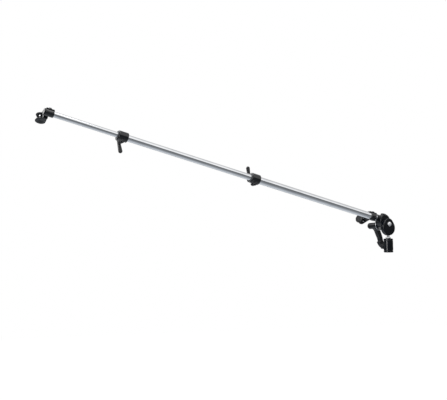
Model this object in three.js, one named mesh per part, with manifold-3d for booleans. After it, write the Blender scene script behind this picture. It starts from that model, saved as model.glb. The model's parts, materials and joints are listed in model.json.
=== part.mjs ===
// A telescopic holder arm on a tilting head, with a swivelling spring clip near each end.
// Millimetres, +Z up. The origin is the centre of the mouth of the head's spigot socket.
// The arm runs towards -X and the tilt bolt lies along Y, with its lock lever on the +Y side.

import * as THREE from 'three';
import { mergeVertices } from 'three/addons/utils/BufferGeometryUtils.js';
import Module from 'manifold-3d';

const wasm = await Module();
wasm.setup();

// Shared clearances and the number of flats round a circle
const seatGap = 0.3;        // between two pieces that touch or run on each other
const cutOverrun = 2;       // how far a cutting tool runs past the face it cuts
const flats = { large: 24, medium: 18, small: 12, tiny: 6 };
const arcSteps = { large: 10, small: 6, wire: 3, spline: 3 };   // steps along an outline's curves
const bevelSteps = 2;

// Pose of the arm as it is stored
const armRise = THREE.MathUtils.degToRad(11.5);     // the arm climbs towards its far end
const clipRoll = THREE.MathUtils.degToRad(13.4);    // the clips hang back and down

// How each clip leans towards the arm's far end, and turns about its post
const rightClip = { lean: THREE.MathUtils.degToRad(18), turn: 0 };
const leftClip = { lean: THREE.MathUtils.degToRad(13), turn: THREE.MathUtils.degToRad(90) };

// Socket, neck and tilt joint
const barrel = {
  radius: 13.2, height: 39, boreRadius: 8.2, boreDepth: 34,
  chamfer: 1.2, mouthChamfer: 0.6, grooveDepth: 0.7, grooveWidth: 1.8, grooveInset: 4,
};
const lockScrew = {
  radius: 4, height: 18, headRadius: 7.5, headLength: 11, neckLength: 2.5, neckRadius: 5.5,
  chamfer: 1, fluteRadius: 2.2, fluteDepth: 0.9, fluteCount: 8,
};
const stud = { radius: 4, holdInBarrel: 4.2, holdInKnuckle: 13 };
const jamNut = { radius: 7.4, height: 4, chamfer: 0.6, sides: 6 };
const tiltHeight = 80;       // the tilt bolt's height over the socket's mouth
const lowerKnuckle = {
  crownRadius: 17, bowlRadius: 22.3, bowlDrop: 9.6, thickness: 13, front: -6, bevel: 2.4,
  nutRecess: 1.6, nutRecessRadius: 8,
};
const bolt = { radius: 3, leverGrip: 24 };
const capNut = { radius: 7, height: 5.5, domeRadius: 5.6, crown: 2.2, sides: 6 };
const frictionDisc = { radius: 15.5, thickness: 1.4 };
const upperKnuckle = {
  radius: 18, rise: 11.5, thickness: 25, bevel: 2.6,
  bossRadius: 12.5, bossBack: 16, bossChamfer: 1.6, noseRadius: 9.8, noseReach: 18.6, noseChamfer: 0.6,
  knobSeat: 12.4, knobSeatRadius: 8.6,
};
const pressureWasher = { radius: 15.5, thickness: 1.5, chamfer: 0.4 };

// Lock lever, hanging down behind the socket
const lever = {
  hubRadius: 9, hubLength: 42, hubCrown: 2.4, hubGrooveDepth: 0.8, hubGrooveWidth: 2, hubGrooveAt: 31,
  armSetback: 14, armThickness: 14.5, armBevel: 1.4, reach: 49, drop: 66.5,
};
const leverInsert = { radius: 5, length: 25, flangeRadius: 6.5, flangeThickness: 1.2 };

// Telescopic tubes
const tubeRise = 14;         // the tubes' axis over the tilt bolt
const tubeSetback = 21.6;    // and behind the neck
const outerTube = { radius: 9.5, wall: 1.2, length: 430 };
const middleTube = { wall: 1.2, length: 430, held: 53 };    // held: its part inside the tube before
const innerTube = { wall: 1, length: 430, held: 245 };
const tubePlug = { length: 12, flange: 2 };
const endCap = { crown: 2.6, plugLength: 12, rimOverhang: 1.2, chamfer: 0.8 };
const spindle = { radius: 5, plugLength: 27, tail: 2, chamfer: 0.6 };
const spindleNut = { radius: 8, height: 4.4, sides: 6, chamfer: 0.6, recessRadius: 9.2 };
const thrustWasher = { radius: 9.4, thickness: 1.2 };
const rollKnob = {
  radius: 7.6, height: 5.2, chamfer: 0.9, screwRadius: 2.5, fluteRadius: 1.6, fluteDepth: 0.7, fluteCount: 10,
};

// Lock collars between the tubes
const lockCollar = {
  length: 24, wall: 3.6, lip: 6, chamfer: 1, slot: 2,
  earRadius: 5.2, earDrop: 3.6, earSpread: 15, earBevel: 1,
  bossRadius: 6, bossReach: 3.4,
};
const bush = { flange: 1.8, flangeInset: 2.2 };
const pinchBolt = { radius: 2, headRadius: 3.8, headHeight: 2.4, nutHeight: 2.6, sides: 6 };
const shoe = { radius: 2.3, thickness: 2 };
const wing = {
  hubRadius: 5.6, hubLength: 12, hubCrown: 1.4, screwRadius: 2.4, screwHold: 9,
  bladeLength: 36, bladeWidth: 10, neckWidth: 6.4, bladeThickness: 6, bladeBevel: 1.8, bladeInset: 1.4,
};

// How each wing is set: how far its screw is drawn out, and its blade's turn from hanging square to the arm
const rearWing = { standOff: 0.8, turn: THREE.MathUtils.degToRad(200) };
const frontWing = { standOff: 5, turn: THREE.MathUtils.degToRad(23.6) };

// Spring clips
const clipCollar = {
  length: 13, wall: 1.9, chamfer: 0.5, fromHead: 11.7,
  plateLength: 20, plateWidth: 13, plateThickness: 2.6, plateStandOff: 0.5, plateBevel: 0.6,
  bossRadius: 5.4, bossHeight: 1.5, postFloor: 1.2,
};
const collarScrew = {
  radius: 2, headRadius: 3.6, headHeight: 2.4, socketRadius: 1.5, socketDepth: 1.4, sides: 6,
};
const post = { radius: 2.5, flangeRadius: 5.4, flangeThickness: 2, tail: 0.6 };
const postNut = { radius: 4.2, height: 2.4, sides: 6 };
const jaw = {
  rootRadius: 5.5, rootLength: 7, rootOutlineRadius: 6.4, hingeOutlineRadius: 4.6,
  padRadius: 12, reach: 22.5, thickness: 4, bevel: 1.4, mouth: 7,
  hingeFromRoot: 7.4, eyeRadius: 3, eyeThickness: 1.7, earThickness: 2, spring: 5.8,
  tailReach: 8.6, tailSpread: 6.2, tailThickness: 3.4, tailWidth: 9, tailKnobRadius: 2.7,
};
const rubberPad = { inset: 1.7, thickness: 1.6, rootCut: 4 };
const hingePin = { radius: 1.2, headRadius: 2.1, headThickness: 0.9 };
const torsionSpring = {
  wireRadius: 0.38, coilRadius: 2.15, turns: 3.5, pitch: 1.26, legLength: 2.8,
  stepsPerTurn: 8, gapPoints: 300,
};

// Finishes
const finishes = {
  blackPlastic: { color: 0x121419, roughness: 0.42, metalness: 0 },
  blackMetal: { color: 0x14161b, roughness: 0.35, metalness: 0.5 },
  chrome: { color: 0xd8dbe0, roughness: 0.12, metalness: 1 },
  steel: { color: 0xb4b6b8, roughness: 0.3, metalness: 1 },
  brass: { color: 0xb08d45, roughness: 0.35, metalness: 1 },
  rubber: { color: 0x1b1c1f, roughness: 0.85, metalness: 0 },
  nylon: { color: 0x2a2c30, roughness: 0.6, metalness: 0 },
};

// Geometry helpers

function toSolid(geometry) {
  const bare = new THREE.BufferGeometry();
  bare.setAttribute('position', geometry.getAttribute('position'));
  bare.setIndex(geometry.getIndex());
  const welded = mergeVertices(bare);
  return new wasm.Manifold(new wasm.Mesh({
    numProp: 3,
    vertProperties: new Float32Array(welded.getAttribute('position').array),
    triVerts: new Uint32Array(welded.getIndex().array),
  }));
}

function toGeometry(solid) {
  const result = solid.getMesh();
  const geometry = new THREE.BufferGeometry();
  geometry.setAttribute('position', new THREE.BufferAttribute(result.vertProperties, 3));
  geometry.setIndex(new THREE.BufferAttribute(result.triVerts, 1));
  return geometry;
}

function join(first, ...others) {
  const joined = others.reduce((solid, other) => solid.add(toSolid(other)), toSolid(first));
  return toGeometry(joined);
}

function cut(base, ...tools) {
  const remaining = tools.reduce((solid, tool) => solid.subtract(toSolid(tool)), toSolid(base));
  return toGeometry(remaining);
}

// Turns a shape made round or along +Y so that its axis lies along the named axis
function lieAlong(axis, geometry) {
  if (axis === 'x') geometry.rotateZ(-Math.PI / 2);
  if (axis === 'z') geometry.rotateX(Math.PI / 2);
  return geometry;
}

// Round bar centred on an axis, from one place along it to another
function rod(axis, radius, from, to, count) {
  const bar = new THREE.CylinderGeometry(radius, radius, to - from, count);
  bar.translate(0, (from + to) / 2, 0);
  return lieAlong(axis, bar);
}

// Turned shape: profile points are [radius, place along the axis], in the order of rising places outside
function turned(axis, profile, count) {
  const points = profile.map(([radius, along]) => new THREE.Vector2(radius, along));
  return lieAlong(axis, new THREE.LatheGeometry(points, count));
}

// Ring with square edges
function ring(axis, innerRadius, outerRadius, from, to, count) {
  const profile = [[innerRadius, from], [outerRadius, from], [outerRadius, to], [innerRadius, to],
    [innerRadius, from]];
  return turned(axis, profile, count);
}

// Ring whose outer edges are chamfered
function softRing(axis, innerRadius, outerRadius, from, to, chamfer, count) {
  const profile = [
    [innerRadius, from], [outerRadius - chamfer, from], [outerRadius, from + chamfer],
    [outerRadius, to - chamfer], [outerRadius - chamfer, to], [innerRadius, to], [innerRadius, from],
  ];
  return turned(axis, profile, count);
}

// Flat piece cut to an outline, between two places along the named axis.
// Along x the outline's own axes are Y and Z, along y they are X and Z, along z they are X and Y.
function slab(axis, outline, from, to, bevel, curveSegments) {
  const plain = bevel === 0;
  const geometry = new THREE.ExtrudeGeometry(outline, {
    depth: to - from - 2 * bevel,
    bevelEnabled: !plain,
    bevelThickness: bevel,
    bevelSize: bevel,
    bevelOffset: -bevel,
    bevelSegments: bevelSteps,
    curveSegments,
  });
  if (axis === 'y') {
    geometry.translate(0, 0, bevel - to);
    geometry.rotateX(Math.PI / 2);
  } else {
    geometry.translate(0, 0, from + bevel);
  }
  if (axis === 'x') {
    geometry.rotateX(Math.PI / 2);
    geometry.rotateZ(Math.PI / 2);
  }
  return geometry;
}

// Outline of a box
function boxOutline(left, right, bottom, top) {
  const outline = new THREE.Shape();
  outline.moveTo(left, bottom);
  outline.lineTo(right, bottom);
  outline.lineTo(right, top);
  outline.lineTo(left, top);
  outline.closePath();
  return outline;
}

// Outline of a circle
function circleOutline(radius, x = 0, y = 0) {
  const outline = new THREE.Shape();
  outline.absarc(x, y, radius, 0, 2 * Math.PI, false);
  return outline;
}

// Egg outline: the two circles on a vertical line, joined by their common tangents
function egg(topRadius, topHeight, bottomRadius, bottomHeight) {
  const lean = Math.asin((bottomRadius - topRadius) / (topHeight - bottomHeight));
  const outline = new THREE.Shape();
  outline.absarc(0, topHeight, topRadius, lean, Math.PI - lean, false);
  outline.absarc(0, bottomHeight, bottomRadius, Math.PI - lean, 2 * Math.PI + lean, false);
  outline.closePath();
  return outline;
}

// Scallops cut lengthwise into a round head, for fingers to grip
function flutes(axis, headRadius, fluteRadius, fluteDepth, count, from, to) {
  const cutters = [];
  const axisDirection = new THREE.Vector3(axis === 'x' ? 1 : 0, axis === 'y' ? 1 : 0, axis === 'z' ? 1 : 0);
  const outwards = new THREE.Vector3(axis === 'x' ? 0 : 1, axis === 'x' ? 1 : 0, 0);
  for (let index = 0; index < count; index += 1) {
    const place = outwards.clone().applyAxisAngle(axisDirection, (2 * Math.PI * index) / count);
    place.multiplyScalar(headRadius + fluteRadius - fluteDepth);
    const cutter = rod(axis, fluteRadius, from - cutOverrun, to + cutOverrun, flats.tiny);
    cutter.translate(place.x, place.y, place.z);
    cutters.push(cutter);
  }
  return cutters;
}

const assembly = new THREE.Group();

function addPiece(parent, name, geometry, finish) {
  const piece = new THREE.Mesh(geometry, new THREE.MeshStandardMaterial(finish));
  piece.name = name;
  parent.add(piece);
  return piece;
}

// Places along the tilt bolt, from the camera side towards the back
const lowerBack = lowerKnuckle.front + lowerKnuckle.thickness;
const discFront = lowerBack + seatGap;
const upperFront = discFront + frictionDisc.thickness + seatGap;
const upperBack = upperFront + upperKnuckle.thickness;
const washerFront = upperBack + seatGap;
const leverFront = washerFront + pressureWasher.thickness + seatGap;
const leverBack = leverFront + lever.hubLength;
const insertFront = leverFront + seatGap;
const insertBack = insertFront + leverInsert.length;
const boltHole = bolt.radius + seatGap;

// Places along the arm, from the tilt bolt towards the far end
const thrustStart = upperKnuckle.noseReach + seatGap;
const outerStart = thrustStart + thrustWasher.thickness + seatGap;
const outerEnd = outerStart + outerTube.length;
const middleRadius = outerTube.radius - outerTube.wall - seatGap;
const middleStart = outerEnd - middleTube.held;
const middleEnd = middleStart + middleTube.length;
const innerRadius = middleRadius - middleTube.wall - seatGap;
const innerStart = middleEnd - innerTube.held;
const innerEnd = innerStart + innerTube.length;

// The arm's own frame: X along the tubes, Y towards the camera side, Z up
const arm = new THREE.Group();
arm.position.set(0, tubeSetback, tiltHeight + tubeRise);
arm.rotation.set(0, armRise, Math.PI);
arm.updateMatrix();
assembly.add(arm);

function asOnArm(geometry) {
  return geometry.clone().applyMatrix4(arm.matrix);
}

function atTiltBolt(geometry) {
  return geometry.translate(0, 0, tiltHeight);
}

// Socket barrel, its lock screw, the neck stud and the jam nut

function addSocket() {
  const grooveFloor = barrel.radius - barrel.grooveDepth;
  const lowGroove = barrel.grooveInset;
  const highGroove = barrel.height - barrel.grooveInset - barrel.grooveWidth;
  const profile = [
    [0, barrel.boreDepth], [barrel.boreRadius, barrel.boreDepth], [barrel.boreRadius, barrel.mouthChamfer],
    [barrel.boreRadius + barrel.mouthChamfer, 0], [barrel.radius - barrel.chamfer, 0],
    [barrel.radius, barrel.chamfer],
    [barrel.radius, lowGroove], [grooveFloor, lowGroove], [grooveFloor, lowGroove + barrel.grooveWidth],
    [barrel.radius, lowGroove + barrel.grooveWidth], [barrel.radius, highGroove], [grooveFloor, highGroove],
    [grooveFloor, highGroove + barrel.grooveWidth], [barrel.radius, highGroove + barrel.grooveWidth],
    [barrel.radius, barrel.height - barrel.chamfer], [barrel.radius - barrel.chamfer, barrel.height],
    [0, barrel.height],
  ];
  const screwHole = rod('y', lockScrew.radius + seatGap, 0, barrel.radius + cutOverrun, flats.small);
  screwHole.translate(0, 0, lockScrew.height);
  const studHole = rod('z', stud.radius + seatGap, barrel.boreDepth - cutOverrun,
    barrel.height + cutOverrun, flats.small);
  addPiece(assembly, 'socket_barrel', cut(turned('z', profile, flats.large), screwHole, studHole),
    finishes.blackMetal);

  const screwTip = barrel.boreRadius + seatGap;
  const neckStart = barrel.radius + seatGap;
  const headStart = neckStart + lockScrew.neckLength;
  const headEnd = headStart + lockScrew.headLength;
  const screw = turned('y', [
    [0, screwTip], [lockScrew.radius, screwTip], [lockScrew.radius, neckStart],
    [lockScrew.neckRadius, neckStart],
    [lockScrew.neckRadius, headStart], [lockScrew.headRadius - lockScrew.chamfer, headStart],
    [lockScrew.headRadius, headStart + lockScrew.chamfer],
    [lockScrew.headRadius, headEnd - lockScrew.chamfer],
    [lockScrew.headRadius - lockScrew.chamfer, headEnd], [0, headEnd],
  ], flats.medium);
  const screwFlutes = flutes('y', lockScrew.headRadius, lockScrew.fluteRadius, lockScrew.fluteDepth,
    lockScrew.fluteCount, headStart, headEnd);
  const lockScrewShape = cut(screw, ...screwFlutes).translate(0, 0, lockScrew.height);
  addPiece(assembly, 'socket_lock_screw', lockScrewShape, finishes.blackPlastic);

  const studTop = lowerKnuckleBottom() + stud.holdInKnuckle;
  const studShape = rod('z', stud.radius, barrel.height - stud.holdInBarrel, studTop, flats.small);
  addPiece(assembly, 'neck_stud', studShape, finishes.blackMetal);

  const nutStart = barrel.height + seatGap;
  const nutShape = softRing('z', stud.radius + seatGap, jamNut.radius, nutStart, nutStart + jamNut.height,
    jamNut.chamfer, jamNut.sides);
  addPiece(assembly, 'jam_nut', roundBored(nutShape, 'z', stud.radius + seatGap, nutStart, jamNut.height),
    finishes.steel);
}

// A six-sided nut is turned with a six-sided bore, so the round hole is cut through it afterwards
function roundBored(nut, axis, holeRadius, start, height) {
  return cut(nut, rod(axis, holeRadius, start - cutOverrun, start + height + cutOverrun, flats.small));
}

function lowerKnuckleBottom() {
  return tiltHeight - lowerKnuckle.bowlDrop - lowerKnuckle.bowlRadius;
}

// Tilt joint: fixed knuckle, bolt, cap nut, friction disc, moving knuckle and pressure washer

function addTiltJoint() {
  const bottom = lowerKnuckleBottom();
  const nutSeat = lowerKnuckle.front + lowerKnuckle.nutRecess;
  const outline = egg(lowerKnuckle.crownRadius, 0, lowerKnuckle.bowlRadius, -lowerKnuckle.bowlDrop);
  const body = atTiltBolt(slab('y', outline, lowerKnuckle.front, lowerBack, lowerKnuckle.bevel,
    arcSteps.large));
  const through = atTiltBolt(rod('y', boltHole, lowerKnuckle.front - cutOverrun, lowerBack + cutOverrun,
    flats.small));
  const recess = atTiltBolt(rod('y', lowerKnuckle.nutRecessRadius, lowerKnuckle.front - cutOverrun,
    nutSeat, flats.medium));
  const studHole = rod('z', stud.radius + seatGap, bottom - cutOverrun,
    bottom + stud.holdInKnuckle + seatGap, flats.small);
  addPiece(assembly, 'lower_knuckle', cut(body, through, recess, studHole), finishes.blackMetal);

  const capEnd = nutSeat - seatGap;
  const capStart = capEnd - capNut.height;
  const boltFront = capStart + capNut.crown;
  const boltBack = insertFront + bolt.leverGrip;
  addPiece(assembly, 'pivot_bolt', atTiltBolt(rod('y', bolt.radius, boltFront, boltBack, flats.small)),
    finishes.steel);

  const capBody = rod('y', capNut.radius, boltFront, capEnd, capNut.sides);
  const capDome = turned('y', [
    [0, capStart], [capNut.domeRadius - capNut.crown, capStart], [capNut.domeRadius, boltFront],
    [capNut.domeRadius, capEnd], [0, capEnd],
  ], flats.medium);
  const capBore = rod('y', boltHole, boltFront - seatGap, capEnd + cutOverrun, flats.small);
  addPiece(assembly, 'cap_nut', atTiltBolt(cut(join(capBody, capDome), capBore)), finishes.steel);

  const discShape = ring('y', boltHole, frictionDisc.radius, discFront,
    discFront + frictionDisc.thickness, flats.medium);
  addPiece(assembly, 'friction_disc', atTiltBolt(discShape), finishes.nylon);

  const drumHeight = upperKnuckle.rise;
  const drum = atTiltBolt(slab('y', circleOutline(upperKnuckle.radius, 0, drumHeight), upperFront, upperBack,
    upperKnuckle.bevel, arcSteps.large));
  const boss = asOnArm(turned('x', [
    [0, -upperKnuckle.bossBack], [upperKnuckle.bossRadius - upperKnuckle.bossChamfer, -upperKnuckle.bossBack],
    [upperKnuckle.bossRadius, upperKnuckle.bossChamfer - upperKnuckle.bossBack], [upperKnuckle.bossRadius, 0],
    [upperKnuckle.noseRadius, 0], [upperKnuckle.noseRadius,
    upperKnuckle.noseReach - upperKnuckle.noseChamfer],
    [upperKnuckle.noseRadius - upperKnuckle.noseChamfer, upperKnuckle.noseReach], [0, upperKnuckle.noseReach],
  ], flats.large));
  const boltWay = atTiltBolt(rod('y', boltHole, upperFront - cutOverrun, upperBack + cutOverrun,
    flats.small));
  const spindleWay = asOnArm(rod('x', spindle.radius + seatGap, -2 * upperKnuckle.radius,
    2 * upperKnuckle.radius, flats.small));
  const nutFloor = spindleNutEnd() + seatGap;
  const nutRecess = asOnArm(rod('x', spindleNut.recessRadius, -2 * upperKnuckle.radius, nutFloor,
    flats.medium));
  const knobRecess = asOnArm(rod('z', upperKnuckle.knobSeatRadius, upperKnuckle.knobSeat,
    2 * upperKnuckle.radius, flats.medium));
  const knobWay = asOnArm(rod('z', rollKnob.screwRadius + seatGap, 0, upperKnuckle.knobSeat + cutOverrun,
    flats.small));
  const knuckle = cut(join(drum, boss), boltWay, spindleWay, nutRecess, knobRecess, knobWay);
  addPiece(assembly, 'upper_knuckle', knuckle, finishes.blackMetal);

  const washerShape = softRing('y', boltHole, pressureWasher.radius, washerFront,
    washerFront + pressureWasher.thickness, pressureWasher.chamfer, flats.medium);
  addPiece(assembly, 'pressure_washer', atTiltBolt(washerShape), finishes.chrome);
}

// Lock lever and its threaded insert

// Right and left edges of the lever's arm, as shares of its reach and its drop from the bolt
const leverRightShares = [
  [0.18, -0.02], [0.34, -0.2], [0.47, -0.42], [0.555, -0.635], [0.61, -0.755], [0.73, -0.795], [0.9, -0.805],
];
const leverTipShares = [[0.99, -0.85], [1, -0.93], [0.94, -0.99]];
const leverLeftShares = [[0.78, -1], [0.61, -0.965], [0.42, -0.875], [0.3, -0.745], [0.285, -0.7]];
const leverStepShares = [[0.365, -0.665], [0.2, -0.4], [0.06, -0.2], [-0.12, -0.1]];

function leverOutline() {
  const place = ([reachShare, dropShare]) => new THREE.Vector2(reachShare * lever.reach,
    dropShare * lever.drop);
  const outline = new THREE.Shape();
  outline.moveTo(0, 0);
  outline.lineTo(...place(leverRightShares[0]).toArray());
  outline.splineThru(leverRightShares.slice(1).map(place));
  outline.splineThru(leverTipShares.map(place));
  outline.splineThru(leverLeftShares.map(place));
  outline.lineTo(...place(leverStepShares[0]).toArray());
  outline.splineThru(leverStepShares.slice(1).map(place));
  outline.closePath();
  return outline;
}

function addLever() {
  const armFront = leverFront + lever.armSetback;
  const grooveStart = leverFront + lever.hubGrooveAt;
  const grooveEnd = grooveStart + lever.hubGrooveWidth;
  const grooveRadius = lever.hubRadius - lever.hubGrooveDepth;
  const hub = turned('y', [
    [0, leverFront], [lever.hubRadius, leverFront], [lever.hubRadius, grooveStart],
    [grooveRadius, grooveStart],
    [grooveRadius, grooveEnd], [lever.hubRadius, grooveEnd], [lever.hubRadius, leverBack - lever.hubCrown],
    [lever.hubRadius - lever.hubCrown, leverBack], [0, leverBack],
  ], flats.medium);
  const handle = slab('y', leverOutline(), armFront, armFront + lever.armThickness, lever.armBevel,
    arcSteps.spline);
  const insertHole = rod('y', leverInsert.radius + seatGap, leverFront - cutOverrun, insertBack + seatGap,
    flats.small);
  const flangeHole = rod('y', leverInsert.flangeRadius + seatGap, leverFront - cutOverrun,
    insertFront + leverInsert.flangeThickness + seatGap, flats.small);
  addPiece(assembly, 'lock_lever', atTiltBolt(cut(join(hub, handle), insertHole, flangeHole)),
    finishes.blackPlastic);

  const flangeEnd = insertFront + leverInsert.flangeThickness;
  const insert = turned('y', [
    [boltHole, insertFront], [leverInsert.flangeRadius, insertFront], [leverInsert.flangeRadius, flangeEnd],
    [leverInsert.radius, flangeEnd], [leverInsert.radius, insertBack], [boltHole, insertBack],
    [boltHole, insertFront],
  ], flats.small);
  addPiece(assembly, 'lever_insert', atTiltBolt(insert), finishes.brass);
}

// Roll joint between the head and the outer tube

function spindleNutEnd() {
  return spindleNut.height - upperKnuckle.bossBack;
}

function addRollJoint() {
  const nutEnd = spindleNutEnd();
  const nutStart = nutEnd - spindleNut.height;
  const shaftStart = nutStart - spindle.tail;
  const plugEnd = outerStart + spindle.plugLength;
  const plugRadius = outerTube.radius - outerTube.wall - seatGap;
  const spindleShape = turned('x', [
    [0, shaftStart], [spindle.radius - spindle.chamfer, shaftStart],
    [spindle.radius, shaftStart + spindle.chamfer],
    [spindle.radius, outerStart], [plugRadius, outerStart], [plugRadius, plugEnd - spindle.chamfer],
    [plugRadius - spindle.chamfer, plugEnd], [0, plugEnd],
  ], flats.medium);
  addPiece(arm, 'roll_spindle', spindleShape, finishes.steel);

  const nut = softRing('x', spindle.radius + seatGap, spindleNut.radius, nutStart, nutEnd,
    spindleNut.chamfer, spindleNut.sides);
  addPiece(arm, 'spindle_nut', roundBored(nut, 'x', spindle.radius + seatGap, nutStart,
    spindleNut.height), finishes.steel);

  const washer = ring('x', spindle.radius + seatGap, thrustWasher.radius, thrustStart,
    thrustStart + thrustWasher.thickness, flats.medium);
  addPiece(arm, 'thrust_washer', washer, finishes.nylon);

  const knobStart = upperKnuckle.knobSeat + seatGap;
  const knobEnd = knobStart + rollKnob.height;
  const knob = turned('z', [
    [0, spindle.radius + seatGap], [rollKnob.screwRadius, spindle.radius + seatGap],
    [rollKnob.screwRadius, knobStart],
    [rollKnob.radius, knobStart], [rollKnob.radius, knobEnd - rollKnob.chamfer],
    [rollKnob.radius - rollKnob.chamfer, knobEnd], [0, knobEnd],
  ], flats.medium);
  const knobFlutes = flutes('z', rollKnob.radius, rollKnob.fluteRadius, rollKnob.fluteDepth,
    rollKnob.fluteCount,
    knobStart + cutOverrun, knobEnd);
  addPiece(arm, 'roll_knob', cut(knob, ...knobFlutes), finishes.blackPlastic);
}

// Tubes, the plugs in their hidden ends and the cap on the last one

function addTubes() {
  const shoeHole = shoe.radius + 2 * seatGap;
  const outer = ring('x', outerTube.radius - outerTube.wall, outerTube.radius, outerStart, outerEnd,
    flats.large);
  const outerHole = screwWay(shoeHole, outerTube.radius + cutOverrun).translate(collarCentre(outerEnd), 0, 0);
  addPiece(arm, 'outer_tube', cut(outer, outerHole), finishes.chrome);

  const middle = ring('x', middleRadius - middleTube.wall, middleRadius, middleStart, middleEnd, flats.large);
  const middleHole = screwWay(shoeHole, middleRadius + cutOverrun).translate(collarCentre(middleEnd), 0, 0);
  addPiece(arm, 'middle_tube', cut(middle, middleHole), finishes.chrome);

  const inner = ring('x', innerRadius - innerTube.wall, innerRadius, innerStart, innerEnd, flats.large);
  addPiece(arm, 'inner_tube', inner, finishes.chrome);

  addPlug('inner_tube_plug', innerStart, innerRadius, innerTube.wall, false);
  addPlug('middle_tube_plug', middleStart, middleRadius, middleTube.wall, true);

  const capStart = innerEnd + seatGap;
  const capRadius = innerRadius + endCap.rimOverhang;
  const capPlug = innerRadius - innerTube.wall - seatGap;
  const cap = turned('x', [
    [0, innerEnd - endCap.plugLength], [capPlug, innerEnd - endCap.plugLength], [capPlug, capStart],
    [capRadius, capStart], [capRadius, capStart + endCap.crown - endCap.chamfer],
    [capRadius - endCap.chamfer, capStart + endCap.crown], [0, capStart + endCap.crown],
  ], flats.medium);
  addPiece(arm, 'end_cap', cap, finishes.blackPlastic);
}

// Plug at a tube's hidden end: a flange as wide as the tube, and a stem inside it.
// The middle tube's plug is open, so that the spindle's end has room behind it.
function addPlug(name, tubeStart, tubeRadius, tubeWall, open) {
  const stemRadius = tubeRadius - tubeWall - seatGap;
  const bore = open ? stemRadius - tubePlug.flange : 0;
  const flangeStart = tubeStart - seatGap - tubePlug.flange;
  const stemEnd = tubeStart + tubePlug.length;
  const profile = [
    [bore, flangeStart], [tubeRadius, flangeStart], [tubeRadius, tubeStart - seatGap],
    [stemRadius, tubeStart - seatGap], [stemRadius, stemEnd], [bore, stemEnd],
  ];
  if (open) profile.push(profile[0]);
  addPiece(arm, name, turned('x', profile, flats.medium), finishes.nylon);
}

// Lock collars

function collarCentre(tubeEnd) {
  return tubeEnd + lockCollar.lip - lockCollar.length / 2;
}

// Radial way for a screw, out of the tube's axis towards the back
function screwWay(radius, reach) {
  return rod('y', radius, -reach, 0, flats.small);
}

function earOutline(top, bottom) {
  const outline = new THREE.Shape();
  outline.moveTo(lockCollar.earRadius, top);
  outline.lineTo(-lockCollar.earRadius, top);
  outline.absarc(0, bottom, lockCollar.earRadius, Math.PI, 2 * Math.PI, false);
  outline.closePath();
  return outline;
}

// Outline of the wing's blade, lying along -X of its outline from the hub's centre
function bladeOutline() {
  const tipCentre = wing.bladeLength - wing.bladeWidth / 2;
  return egg(wing.neckWidth / 2, 0, wing.bladeWidth / 2, -tipCentre);
}

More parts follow.
